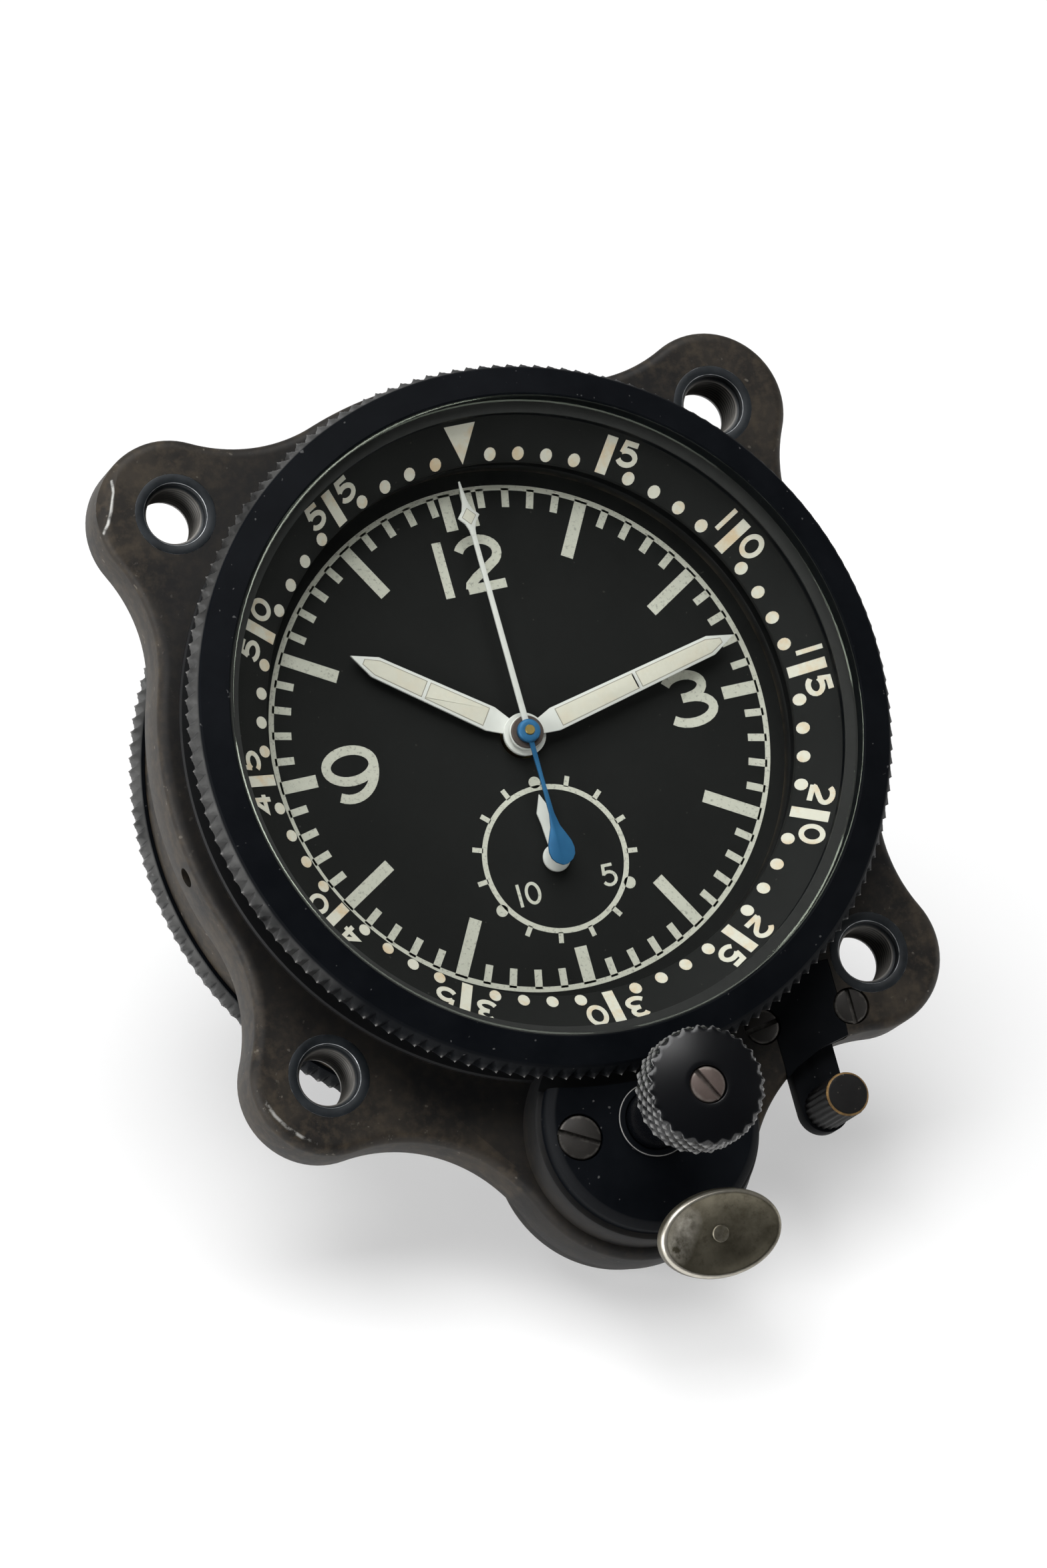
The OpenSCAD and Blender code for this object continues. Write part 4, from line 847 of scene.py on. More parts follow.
boss = lathe("tool", [
    (0, -7.0), (9.6, -7.0), (9.95, -6.8), (10.0, -6.5), (10.0, -4.6), (BOSS_R, -4.2), (BOSS_R, 3.15),
    (9.33, 3.32), (9.15, PLATE_Z), (0, PLATE_Z)], CASE, 128, WINDING)
carve(case, [turned, boss], "UNION", CRISP)
print("case joined, faces:", len(case.data.polygons))

# %% Bore, channel and straight holes
bore = lathe("tool", [
    (0, -19.3), (BORE_R, -19.3), (BORE_R, DIAL_Z), (LEDGE_R, DIAL_Z), (LEDGE_R, 0.3), (LEDGE_R + 0.1, 0.45),
    (BORE_R, 0.45), (BORE_R, 5.1), (0, 5.1)], CASE, 192)
bezel_room = lathe("tool", [(27.3, 3.25), (BEZEL_ROOM, 3.25), (BEZEL_ROOM, 6.0), (27.3, 6.0)], CASE, 192)
tools = [bore, bezel_room]
tools += [rod(3.37, -5.1, 0.1, place) for place in EARS.values()]
tools.append(block(SLIDE_X - 3.07, SLIDE_X + 3.07, -36.0, -23.38, -1.5, 0.12))
tools.append(block(SLIDE_X - 2.065, SLIDE_X + 2.065, -36.0, -22.35, -3.08, -1.4))
tools += [rod(1.55, -0.8, 0.1, place, 48) for place in STRIP_PLACES]
carve(case, tools, "DIFFERENCE", CRISP)
print("case bored, faces:", len(case.data.polygons))

# %% Holes at a slant
LEAN = math.radians(14.0)
PAD_Y = -44.6
PAD_Z = 13.2
PUSH_WAY = (0.0, -math.sin(LEAN), math.cos(LEAN))
PUSH_FOOT = (0.0, PAD_Y + PAD_Z * math.tan(LEAN), 0.0)


def aim(obj, base, direction):
    """Turns a mesh made along z so that it starts at base and runs along direction."""
    way = Vector(direction).normalized().to_track_quat("Z", "Y").to_matrix()
    for v in obj.data.vertices:
        p = way @ Vector((v.co.x / MM, v.co.z / MM, -v.co.y / MM)) + Vector(base)
        v.co = to_row(p)
    return obj


def from_winding(x, y):
    return math.dist((x, y), WINDING)


def case_edge(x, y, z):
    if -0.4 < z < 0.02 and math.hypot(x, y) > 28.9:
        return 1.0
    return 0.35 if -5.1 < z < -4.6 else 0.0


# Marks painted shade: 1 on the collar and the boss in front, 0.75 on the lobe round the winding gear.
def case_painted_shade(x, y, z):
    if z > 0.1:
        return 1.0
    return 0.75 if from_winding(x, y) < 10.6 else 0.0


grub_x, grub_y = polar(30.6, 189.7)
push_hole = aim(rod(1.62, -6.1, 6.0), PUSH_FOOT, PUSH_WAY)
filed = aim(block(-4.0, 4.0, -4.0, 4.0, 0.0, 3.0), (-28.55, 25.4, 0.0), (-0.62, 0.29, 0.73))
grub_hole = aim(rod(0.82, 0.0, 4.1, steps=32), (grub_x, grub_y, -2.5), (-grub_x, -grub_y, 0.0))
carve(case, [push_hole, filed, grub_hole], sharp=CRISP)
set_mark(case, "edge", case_edge)
set_mark(case, "boss", case_painted_shade)
keep(case, "case", "case_black", "case_body")

# %% [markdown]
# ## Threaded inserts and screws
# Each ear holds a steel bush with a screw thread. A helix could be swept through it, but from outside it
# looks much like a zigzag in the turned profile, which is simpler. The four copies come from the tree that
# works on places.

# %% Inserts
BUSH_R = 3.35
PITCH = 0.46
thread = [(BUSH_R, 0.0), (3.28, 0.02), (2.72, 0.02), (2.62, -0.03), (2.54, -0.14), (2.52, -0.72),
          (2.24, -0.86)]
for k in range(8):
    thread += [(2.45, -1.08 - PITCH * k), (2.22, -1.3 - PITCH * k)]
thread += [(2.3, -4.98), (3.3, FLANGE_BACK), (BUSH_R, -4.95)]
bush = lathe("insert", thread, INSERT, 96)
ear_places = [(x, y, 0.0, 90.0 * i) for i, (x, y) in enumerate(EARS.values())]
inserts = copies_at("inserts", bush, INSERT, ear_places)


def from_hole(x, y):
    return math.dist((abs(x), abs(y)), (HOLE, HOLE))


def insert_edge(x, y, z):
    r = from_hole(x, y)
    if z > -0.1 and 2.55 < r < 2.68:
        return 1.0
    return 0.8 if z > -0.1 and r > 3.3 else 0.0


set_mark(inserts, "edge", insert_edge)
set_mark(inserts, "thread", lambda x, y, z: 1.0 if z < -0.8 and from_hole(x, y) < 2.3 else 0.0)
keep(inserts, "case", "insert_steel", "threaded_inserts")

# %% [markdown]
# A slotted screw head is a turned disc with a saw cut. The same head serves the plate over the winding
# gear, the strip over the slide and, on its own, the knob, so one function makes, sets and marks all of
# them. The grub screw in the flange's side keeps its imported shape, with softer edges.

# %% Screws


def screw_head(r, depth, wide, material):
    head = lathe("head", [
        (0, -depth), (r * 0.94, -depth), (r, -depth + 0.06), (r, -0.14), (r - 0.05, -0.05), (r - 0.14, 0.0),
        (0, 0.0)], material, 56)
    return carve(head, [block(-2 * r, 2 * r, -wide / 2, wide / 2, -depth * 0.5, 0.2)])


def screws(name, body, node, head, material, places):
    """Sets heads of (radius, depth, slot) at (x, y, z, angle) and marks their rims."""
    made = copies_at(name, screw_head(*head, material), material, places)

    def rim(x, y, z):
        off = min(math.dist((x, y), place[:2]) for place in places)
        return 0.75 if off > head[0] - 0.2 else 0.2
    set_mark(made, "edge", rim)
    keep(made, body, "screw_steel", node)


PLATE_PLACES = [(-6.4, WINDING[1]), (6.4, WINDING[1])]
on_plate = [(x, y, 5.0, 28.0) for x, y in PLATE_PLACES]
screws("plate_screws", "case", "plate_screws", (1.8, 0.65, 0.46), SCREW, on_plate)
on_strip = [(x, y, -0.05, angle) for (x, y), angle in zip(STRIP_PLACES, (-9.0, 90.0))]
screws("strip_screws", "case", "cover_screws", (1.45, 0.7, 0.4), SCREW, on_strip)
keep(soften("set_screw", "grub_screw", 0.04, SCREW), "case", "screw_steel", "set_screw")

# %% [markdown]
# ## Bezel and rear cover
# Both have a roof-shaped band cut into teeth by a straight knurl. The notches could be cut with a boolean.
# But seen along the axis the edge is a zigzag, seen from the side it is a roof, and the real surface is the
# lower of the two at each point, so one function gives the teeth of both while they are turned.

# %% Toothed rims
TEETH = 160
TOOTH_DEPTH = 0.64
BEZEL_TIP = 29.62
COVER_TIP = 28.55
FINE = 24.0


def roof(points, steps=7):
    """Adds points along each stretch of a profile that is marked as toothed."""
    out = []
    for (a, b, cut), (c, d, _) in zip(points, points[1:] + points[:1]):
        n = steps if cut else 1
        out += [(a + (c - a) * k / n, b + (d - b) * k / n) for k in range(n)]
    return out


def toothed(name, profile, tip):
    def zigzag(r, z, angle):
        part = angle / (2 * math.pi) * TEETH % 1.0
        fall = abs(part - 0.5) * 2
        return min(r, tip - TOOTH_DEPTH * min(1.0, fall * 1.12))
    return lathe(name, roof(profile), BEZEL, TEETH * 6, shape=zigzag, sharp=FINE)


def rubbed_and_lit_side(x, y):
    """Wear and painted sheen of the teeth, most at the upper left, towards the light, and none at the
    bottom.
    """
    facing = (0.44 * y - 0.9 * x) / math.hypot(x, y)
    return 0.05 + 0.95 * min(1.0, max(0.0, (facing - 0.35) / 0.4))


def wear(obj, tip, root, low, high):
    """Marks the tips of the teeth, and their flanks: worn, with a painted sheen on the lit side."""
    def flank_wear_and_sheen(x, y, z):
        return rubbed_and_lit_side(x, y) if low < z < high and math.hypot(x, y) > root else 0.0
    set_mark(obj, "edge", lambda x, y, z: max(0.0, 1.0 - (tip - math.hypot(x, y)) / 0.4))
    set_mark(obj, "teeth", flank_wear_and_sheen)


bezel = toothed("toothed_bezel", [
    (27.3, 3.5, 0), (28.53, 3.5, 0), (28.86, 3.75, 1), (BEZEL_TIP, 5.4, 1), (28.88, 6.95, 0),
    (28.74, 7.08, 0), (26.75, 7.56, 0), (26.58, 7.6, 0), (26.46, 7.52, 0), (26.44, 7.4, 0),
    (26.44, 5.75, 0), (25.4, 5.75, 0), (25.4, 5.2, 0), (27.3, 5.2, 0), (27.3, 4.85, 0), (27.7, 4.85, 0),
    (27.7, 3.95, 0), (27.3, 3.95, 0)], BEZEL_TIP)
wear(bezel, BEZEL_TIP, 28.9, 3.9, 6.8)
keep(bezel, "bezel", "bezel_black", "bezel")
cover = toothed("rear_cover_rim", [
    (0, -21.9, 0), (25.75, -21.9, 0), (26.15, -21.8, 0), (27.15, -20.8, 0), (27.81, -19.7, 1),
    (COVER_TIP, -18.1, 1), (27.81, -16.5, 0), (27.55, -16.5, 0), (27.55, -19.7, 0), (0, -19.7, 0)],
    COVER_TIP)
spanner_holes = [rod(1.2, -22.0, -20.9, (x, 0.0), 40) for x in (18.558, -18.558)]
carve(cover, spanner_holes, sharp=FINE)
wear(cover, COVER_TIP, 27.85, -19.6, -16.6)
keep(cover, "case", "bezel_black", "rear_cover")

# %% [markdown]
# ## Glass and chapter ring
# The glass is flat with a ground bevel and lies on a rubber ring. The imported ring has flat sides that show
# through the glass's edge as a pattern, so it is turned anew with more steps. Under it a sloped black ring
# turns with the bezel and carries the minutes.

# %% Glass and ring
GLASS_R = 26.42
GLASS_BACK = 6.0
GLASS_TOP = 7.8
CHAPTER_IN = 22.2
CHAPTER_OUT = 25.55
CHAPTER_LOW = 2.7
SLOPE = math.tan(math.radians(30.0))


def cone(r):
    """Height of the sloped ring at a radius."""
    return CHAPTER_LOW + (r - CHAPTER_IN) * SLOPE


glass = lathe("front_glass", [
    (0, GLASS_BACK), (25.0, GLASS_BACK), (26.2, GLASS_BACK), (26.3, GLASS_BACK), (GLASS_R, 6.1),
    (GLASS_R, 7.58), (26.4, 7.66), (26.28, 7.78), (26.2, GLASS_TOP), (26.1, GLASS_TOP), (25.0, GLASS_TOP),
    (0, GLASS_TOP)], GLASS, 192)
set_mark(glass, "edge", lambda x, y, z: 1.0 if math.hypot(x, y) > 26.24 else 0.0)
keep(glass, "bezel", "clear_glass", "glass")
seal = lathe("seal_ring", [(25.4, 5.76), (GLASS_R, 5.76), (GLASS_R, 5.99), (25.4, 5.99)], RUBBER, 320)
keep(seal, "bezel", "seal_rubber", "glass_seal")
chapter = lathe("chapter", [
    (CHAPTER_IN, 2.25), (CHAPTER_IN, 2.62), (22.28, cone(22.28)), (CHAPTER_OUT, cone(CHAPTER_OUT)),
    (CHAPTER_OUT, 5.2), (26.05, 5.2), (26.05, cone(CHAPTER_OUT) - 0.45)], DIAL, 224)
keep(chapter, "bezel", "dial_black", "chapter_ring")

# %% [markdown]
# ## Drawing marks
# Print and luminous paint are thin layers. `Drawing` gathers flat shapes and strokes and lays them on a
# surface through a function that turns two numbers and a height into a point, so the same digits serve the
# flat dial and the sloped ring. Text objects would need a font. Here each digit is a few strokes of one
# width, as an engraver would cut them.

# %% Drawing helper
LIFT = 0.004


class Drawing:
    """Shapes that become one mesh."""

    def __init__(self):
        self.points = []
        self.faces = []

    def mound(self, rings):
        """A low heap through rings of as many points each."""
        n = len(rings[0])
        start = len(self.points)
        for ring in rings:
            self.points += ring
        last = start + n * (len(rings) - 1)
        self.faces += [tuple(range(start, start + n)), tuple(range(last, last + n))]
        for a in range(start, last, n):
            for i in range(n):
                j = (i + 1) % n
                self.faces.append((a + i, a + j, a + n + j, a + n + i))

    def plate(self, outline, place, low, high):
        self.mound([[place(u, v, h) for u, v in outline] for h in (low, high)])

    def stroke(self, path, width, place, low, high, closed=False):
        """A band along a path of points, mitred at its bends."""
        n = len(path)
        left = []
        right = []
        for i, p in enumerate(path):
            before = path[i - 1] if i or closed else p
            after = path[(i + 1) % n] if i < n - 1 or closed else p
            a = Vector((p[0] - before[0], p[1] - before[1]))
            b = Vector((after[0] - p[0], after[1] - p[1]))
            a = a.normalized() if a.length else b.normalized()
            b = b.normalized() if b.length else a
            way = (a + b).normalized()
            reach = width / 2 / max(0.45, way.dot(b))
            side = Vector((-way.y, way.x)) * reach
            left.append((p[0] + side.x, p[1] + side.y))
            right.append((p[0] - side.x, p[1] - side.y))
        start = len(self.points)
        for l, r in zip(left, right):
            self.points += [place(*l, low), place(*r, low), place(*r, high), place(*l, high)]
        for i in range(n if closed else n - 1):
            a = start + 4 * i
            b = start + 4 * ((i + 1) % n)
            for k in range(4):
                m = (k + 1) % 4
                self.faces.append((a + k, a + m, b + m, b + k))
        if not closed:
            self.faces.append(tuple(range(start, start + 4)))
            self.faces.append(tuple(range(start + 4 * n - 4, start + 4 * n)))

    def made(self, name, material):
        return solid(name, self.points, self.faces, material)


def oblong(middle, wide, low, high):
    half = wide / 2
    return [(middle - half, low), (middle + half, low), (middle + half, high), (middle - half, high)]


def dot(r, n=14):
    return [polar(r, 360.0 * i / n) for i in range(n)]


def bow(cx, cy, rx, ry, start, end, n=14):
    """Points along part of an ellipse."""
    angles = [math.radians(start + (end - start) * i / n) for i in range(n + 1)]
    return [(cx + rx * math.cos(a), cy + ry * math.sin(a)) for a in angles]


DIGITS = {
    "0": [(bow(0, 0.5, 0.5, 0.5, 0, 360, 32)[:-1], True)],
    "2": [(bow(-0.02, 0.7, 0.5, 0.3, 160, -38) + [(0.1, 0.37), (-0.22, 0.22), (-0.4, 0.1), (-0.44, 0.0)],
           False),
          ([(-0.5, 0.0), (0.5, 0.0)], False)],
    "3": [(bow(-0.06, 0.765, 0.43, 0.235, 158, -62) + [(-0.02, 0.53), (-0.16, 0.53)], False),
          ([(-0.16, 0.53), (-0.02, 0.53)] + bow(-0.02, 0.265, 0.52, 0.265, 72, -148), False)],
    "4": [([(0.2, 1.0), (-0.5, 0.27), (0.5, 0.27)], False), ([(0.2, -0.1), (0.2, 1.05)], False)],
    "5": [([(0.42, 1.0), (-0.3, 1.0), (-0.39, 0.52)], False),
          (bow(-0.02, 0.33, 0.52, 0.33, 138, -152), False)],
    "9": [(bow(0, 0.68, 0.5, 0.32, 0, 360, 32)[:-1], True),
          (bow(-0.08, 0.66, 0.58, 0.66, 4, -118), False)],
}


def write(drawing, digit, at, size, width, place, low, high):
    """Writes one digit centred on a point. Strokes that cross lie a hair above each other."""
    u, v = at
    wide, tall = size
    if digit == "1":
        drawing.plate(oblong(u, width, v - tall / 2, v + tall / 2), place, low, high)
        return
    for level, (path, closed) in enumerate(DIGITS[digit]):
        moved = [(u + (wide - width) * x, v + (tall - width) * (y - 0.5)) for x, y in path]
        drawing.stroke(moved, width, place, low, high + LIFT * level, closed)


print("digits:", " ".join(DIGITS))

# %% [markdown]
# The chapter ring carries a dot for each minute, a bar and a number for every fifth and a triangle at 60.
# Dots and bars are drawn once, at the top, and copied round by the tree. The numbers differ, so a loop
# writes them.

# %% Chapter marks
SUNK = -0.05
LAYER = 0.035
RING_TURN = 0.4
DOT_AT = 22.76
FIGURE_AT = 24.27
FIGURE = (1.75, 1.95)
FIGURE_LINE = 0.39


def on_ring(angle):
    """Places (sideways, outwards, height) on the sloped ring at a clockwise angle from 12."""
    s = math.sin(math.radians(angle))
    c = math.cos(math.radians(angle))

    def place(t, r, h):
        return (r * s + t * c, r * c - t * s, cone(math.hypot(r, t)) + h)
    return place


def chapter_mark(name, outline, count, skip):
    one = Drawing()
    one.plate(outline, on_ring(0.0), SUNK, LAYER)
    marks = ring_of(name, one.made("mark", LUME), LUME, count, skip=skip, first=0, turn=RING_TURN)
    keep(marks, "bezel", "hand_white")


chapter_mark("minute_dots", [(x, DOT_AT + y) for x, y in dot(0.5)], 60, 5)
chapter_mark("five_minute_bars", oblong(0.0, 0.9, 22.36, 25.19), 12, NEVER)
figures = Drawing()
figures.plate([(0.0, 22.3), (1.35, 25.2), (-1.35, 25.2)], on_ring(RING_TURN), SUNK, LAYER)
for k in range(1, 12):
    digits = str(5 * k)
    spot = on_ring(30.0 * k + RING_TURN)
    if len(digits) == 2:
        left = -1.35 if digits[0] == "1" else -1.82
        write(figures, digits[0], (left, FIGURE_AT), FIGURE, FIGURE_LINE, spot, SUNK, LAYER)
    write(figures, digits[-1], (1.66, FIGURE_AT), FIGURE, FIGURE_LINE, spot, SUNK, LAYER)
keep(figures.made("chapter_figures", LUME), "bezel", "hand_white")

# %% [markdown]
# ## The dial
# A flat black disc with a minute track, hour bars, three numerals and a small counter for the minutes of
# the stop hand. Its print is a layer of 0.02 mm. Bars and ticks are copied round by the tree, which leaves
# out the places where a longer bar or a numeral stands.

# %% Dial and its print
PRINT_T = 0.02
TRACK_R = 20.94
TRACK_IN = 20.9
COUNTER = (0.0, -10.35)
NUMERAL_LINE = 0.78
NUMERALS = {"1": ((-2.65, 14.75), (1.0, 4.75)), "2": ((0.65, 14.75), (4.1, 4.8)),
            "3": ((14.86, 0.17), (4.55, 4.84)), "9": ((-14.8, -0.08), (4.8, 4.78))}


def flat(u, v, h):
    return (u, v, DIAL_Z + h)


def dial_mark(name, outline, count, skip, first=0, centre=CENTRE):
    one = Drawing()
    one.plate(outline, flat, 0.0, PRINT_T)
    marks = ring_of(name, one.made("mark", PRINT), PRINT, count, skip=skip, first=first, centre=centre)
    keep(marks, "case", "hand_white")


dial = lathe("dial_disc", [(1.8, -1.4), (26.2, -1.4), (26.2, DIAL_Z), (1.8, DIAL_Z)], DIAL, 192)
carve(dial, [rod(0.65, -1.6, 0.0, COUNTER, 32)])
keep(dial, "case", "dial_black", "dial")
dial_mark("minute_ticks", oblong(0.0, 0.62, 19.3, TRACK_IN), 60, 5)
dial_mark("hour_bars", oblong(0.0, 1.05, 15.9, TRACK_IN), 12, 3)
dial_mark("quarter_bars", oblong(0.0, 1.05, 17.8, TRACK_IN), 4, 4)
track = Drawing()
track.stroke(dot(TRACK_R, 240), 0.44, flat, 0.0, PRINT_T, True)
for x in (-0.94, 0.94):
    track.plate(oblong(x, 1.0, 17.8, TRACK_IN), flat, 0.0, PRINT_T)
for digit, (at, size) in NUMERALS.items():
    write(track, digit, at, size, NUMERAL_LINE, flat, 0.0, PRINT_T)
keep(track.made("dial_track", PRINT), "case", "hand_white")

# %% Minute counter
COUNTER_LINE = 0.26
COUNTER_DIGITS = {"5": ((4.02, -2.25), (1.35, 1.9)), "1": ((-3.82, -2.36), (1.0, 1.9)),
                  "0": ((-2.66, -2.36), (1.35, 1.9))}


def on_counter(u, v, h):
    return flat(u, v + COUNTER[1], h)


dial_mark("counter_ticks", oblong(0.0, 0.4, 6.1, 7.0), 15, 5, centre=COUNTER)
dial_mark("counter_dots", [(x, 6.45 + y) for x, y in dot(0.5, 18)], 3, NEVER, 1, COUNTER)
counter_print = Drawing()
counter_print.stroke(dot(5.98, 96), 0.43, on_counter, 0.0, PRINT_T, True)
for digit, (at, size) in COUNTER_DIGITS.items():
    write(counter_print, digit, at, size, COUNTER_LINE, on_counter, 0.0, PRINT_T)
keep(counter_print.made("counter_print", PRINT), "case", "hand_white")

# %% [markdown]
# ## The hands
# Hour and minute hands are thin white frames filled with luminous paint in two panels, so one function
# makes both. The paint is a low heap of its own, because it has another finish and a dark outline. A small
# coppery bush stands on the minute hand's hub.

# %% Hands
HAND_T = 0.22
TIP = 2.2
HOUR_COLLAR = ((1.5, 0.0), (1.78, 0.0), (1.78, 0.29), (1.74, 0.33), (1.16, 0.33), (1.16, 0.27), (1.5, 0.27))
MINUTE_COLLAR = ((1.0, 0.0), (1.42, 0.0), (1.42, 0.2), (1.3, 0.26), (1.3, 0.46), (1.22, 0.5), (1.0, 0.5))


def turned_by(angle, z):
    s = math.sin(math.radians(angle))
    c = math.cos(math.radians(angle))

    def place(u, v, h):
        return (u * c + v * s, v * c - u * s, z + h)
    return place


def lay_paint(heap, name, body, z):
    """Keeps a heap of luminous paint on a hand at height z and marks its dark outline."""
    paint = heap.made(name, PASTE)
    set_mark(paint, "edge", lambda x, y, h: 1.0 if h < z + HAND_T + 0.02 else 0.0)
    keep(paint, body, "hand_white")


def blade_width(v, length, wide, neck):
    if v > length - TIP:
        return wide * 0.84 * (length - v) / TIP
    return wide * (1.0 - 0.16 * (v - neck) / (length - TIP - neck))


def pencil_hand(name, body, node, angle, z, length, hub, wide, collar):
    place = turned_by(angle, z)
    neck = hub + 1.3
    outline = [(-wide * 0.3, hub * 0.8), (wide * 0.3, hub * 0.8), (wide / 2, neck),
               (wide * 0.42, length - TIP), (0.0, length), (-wide * 0.42, length - TIP), (-wide / 2, neck)]
    shape = Drawing()
    shape.plate(outline, place, 0.0, HAND_T)
    blade = shape.made(name, WHITE)
    carve(blade, [lathe("tool", [(r, z + h) for r, h in collar], WHITE, 72)], "UNION")
    keep(round_edges(blade, 0.05, WHITE), body, "hand_white", node)
    heap = Drawing()
    middle = neck + (length - neck) * 0.46
    for low, high in ((neck + 0.35, middle - 0.14), (middle + 0.14, length - 1.15)):
        rings = []
        for inset, h in ((0.0, HAND_T - 0.03), (0.0, HAND_T + 0.01), (0.12, HAND_T + 0.03)):
            steps = [low + inset, min(high, length - 2.4), high - inset]
            edge = [(blade_width(v, length, wide, neck) / 2 - 0.22 - inset, v) for v in steps]
            rings.append([place(u, v, h) for u, v in edge] + [place(-u, v, h) for u, v in reversed(edge)])
        heap.mound(rings)
    lay_paint(heap, name + "_lume", body, z)


pencil_hand("hour_blade", "hour", "hour_hand", 306.5, -0.12, 15.6, 1.78, 2.1, HOUR_COLLAR)
pencil_hand("minute_blade", "minute", "minute_hand", 77.5, 0.46, 20.0, 1.42, 2.0, MINUTE_COLLAR)
hub_bush = lathe("minute_bush", [
    (0.96, 0.72), (1.35, 0.72), (1.35, 0.95), (1.27, 1.0), (0.96, 1.0)], COPPERY, 56)
set_mark(hub_bush, "edge", lambda x, y, z: 0.6 if z > 0.97 and math.hypot(x, y) > 1.2 else 0.2)
keep(hub_bush, "minute", "screw_steel")

# %% [markdown]
# The stop hand is a white needle with a diamond near its tip and a blued tail that ends in a drop. Both
# halves of an outline are alike, so only one is given and mirrored. The counter's hand is a short white
# blade.

# %% Stop hand and counter hand
STOP_Z = 1.06
COUNTER_Z = -0.64
DIAMOND_AT = 18.3
DIAMOND = ((0.62, 0.0), (0.0, 0.72), (-0.62, 0.0), (0.0, -0.72))
NEEDLE = [(0.25, 0.7), (0.2, 16.6), (0.27, 17.2), (0.46, 17.75), (0.93, DIAMOND_AT), (0.46, 18.85),
          (0.27, 19.4), (0.19, 19.9), (0.06, 21.3)]
DROP = [(0.2, -0.6), (0.15, -4.0), (0.2, -7.0), (0.4, -8.1), (0.78, -8.95), (1.0, -9.5), (1.09, -10.1),
        (1.0, -10.6), (0.72, -11.0), (0.2, -11.3)]
SHORT = [(-0.35, 0.5), (0.35, 0.5), (0.5, 2.97), (0.62, 3.9), (0.0, 5.4), (-0.62, 3.9), (-0.5, 2.97)]
upright = turned_by(0.0, STOP_Z)


def mirrored(half):
    return [(-u, v) for u, v in half] + list(reversed(half))


def over_counter(u, v, h):
    return (u, v + COUNTER[1], COUNTER_Z + h)


def sheet_piece(name, outline, place, material):
    shape = Drawing()
    shape.plate(outline, place, 0.0, HAND_T)
    return shape.made(name, material)


needle = sheet_piece("stop_needle", mirrored(NEEDLE), upright, WHITE)
keep(round_edges(needle, 0.04, WHITE), "chrono", "hand_white", "chrono_seconds_hand")
heap = Drawing()
heap.mound([[upright(u * k, DIAMOND_AT + v * k, h) for u, v in DIAMOND]
            for k, h in ((1.0, 0.2), (1.0, 0.23), (0.8, 0.25))])
lay_paint(heap, "stop_needle_lume", "chrono", STOP_Z)
tail = sheet_piece("stop_tail", mirrored(DROP), upright, BLUE)
hub = lathe("tool", [
    (0.3, STOP_Z), (0.95, STOP_Z), (0.95, 1.42), (0.85, 1.55), (0.45, 1.6), (0.3, 1.55)], BLUE, 56)
carve(tail, [hub], "UNION")
keep(round_edges(tail, 0.05, BLUE), "chrono", "hand_blue")
pivot = lathe("stop_pivot", [
    (0.2, 1.35), (0.4, 1.35), (0.42, 1.66), (0.36, 1.74), (0.24, 1.74), (0.2, 1.68)], BRASS, 40)
keep(pivot, "chrono", "movement_brass")
short = sheet_piece("counter_blade", SHORT, over_counter, WHITE)
hub = lathe("tool", [
    (0.35, COUNTER_Z), (1.15, COUNTER_Z), (1.15, -0.42), (1.0, -0.36), (0.35, -0.34)], WHITE, 48, COUNTER)
carve(short, [hub], "UNION")
keep(round_edges(short, 0.04, WHITE), "counter", "hand_white", "chrono_minute_hand")

# %% [markdown]
# ## Winding gear
# A round plate with a bevelled edge closes the lobe. It is cut away where the bezel turns. The stem stands
# out of a bushing and carries a knob with a crossed knurl: two sets of grooves that wind opposite ways
# leave rows of small diamonds. Turning the knob with a radius that changes by angle and height makes both
# sets at once.

# %% Plate and bushing
PLATE_R = 8.9
PLATE_TOP = 5.1
plate = lathe("winding_plate", [
    (0, PLATE_Z), (PLATE_R, PLATE_Z), (PLATE_R, 4.55), (8.84, 4.68), (8.42, 5.06), (8.3, PLATE_TOP),
    (8.1, PLATE_TOP), (0, PLATE_TOP)], BEZEL, 160, WINDING)
tools = [lathe("tool", [(0, 3.0), (BEZEL_ROOM, 3.0), (BEZEL_ROOM, 5.6), (0, 5.6)], BEZEL, 256)]
tools.append(rod(3.07, 3.0, 5.6, WINDING))
tools.append(aim(rod(1.25, 0.0, 9.0), PUSH_FOOT, PUSH_WAY))
tools += [rod(1.92, 4.35, 5.6, place, 48) for place in PLATE_PLACES]
carve(plate, tools)
set_mark(plate, "edge", lambda x, y, z: 0.3 if from_winding(x, y) > 8.25 and z > 4.5 else 0.0)
keep(plate, "case", "bezel_black", "housing_plate")
bushing = lathe("stem_bush", [
    (2.44, PLATE_Z), (3.05, PLATE_Z), (3.05, 5.25), (2.98, 5.33), (2.86, 5.35), (2.52, 5.35), (2.44, 5.28)],
    BEZEL, 80, WINDING)
set_mark(bushing, "edge", lambda x, y, z: 1.1 if z > 5.3 and from_winding(x, y) > 2.93 else 0.0)
keep(bushing, "case", "bezel_black", "stem_bushing")

# %% Stem and knob
KNOB_R = 4.9
KNOB_LOW = 15.1
DIAMONDS = 24
GROOVE = 0.36
stem = lathe("stem_rod", [
    (0, 3.6), (2.3, 3.6), (2.4, 3.7), (2.4, 14.6), (2.3, 14.7), (2.2, KNOB_LOW), (1.5, KNOB_LOW),
    (1.5, 18.0), (0, 18.0)], KNOB, 72, WINDING)
set_mark(stem, "edge", lambda x, y, z: 0.1)
keep(stem, "stem", "knob_black", "winding_stem")


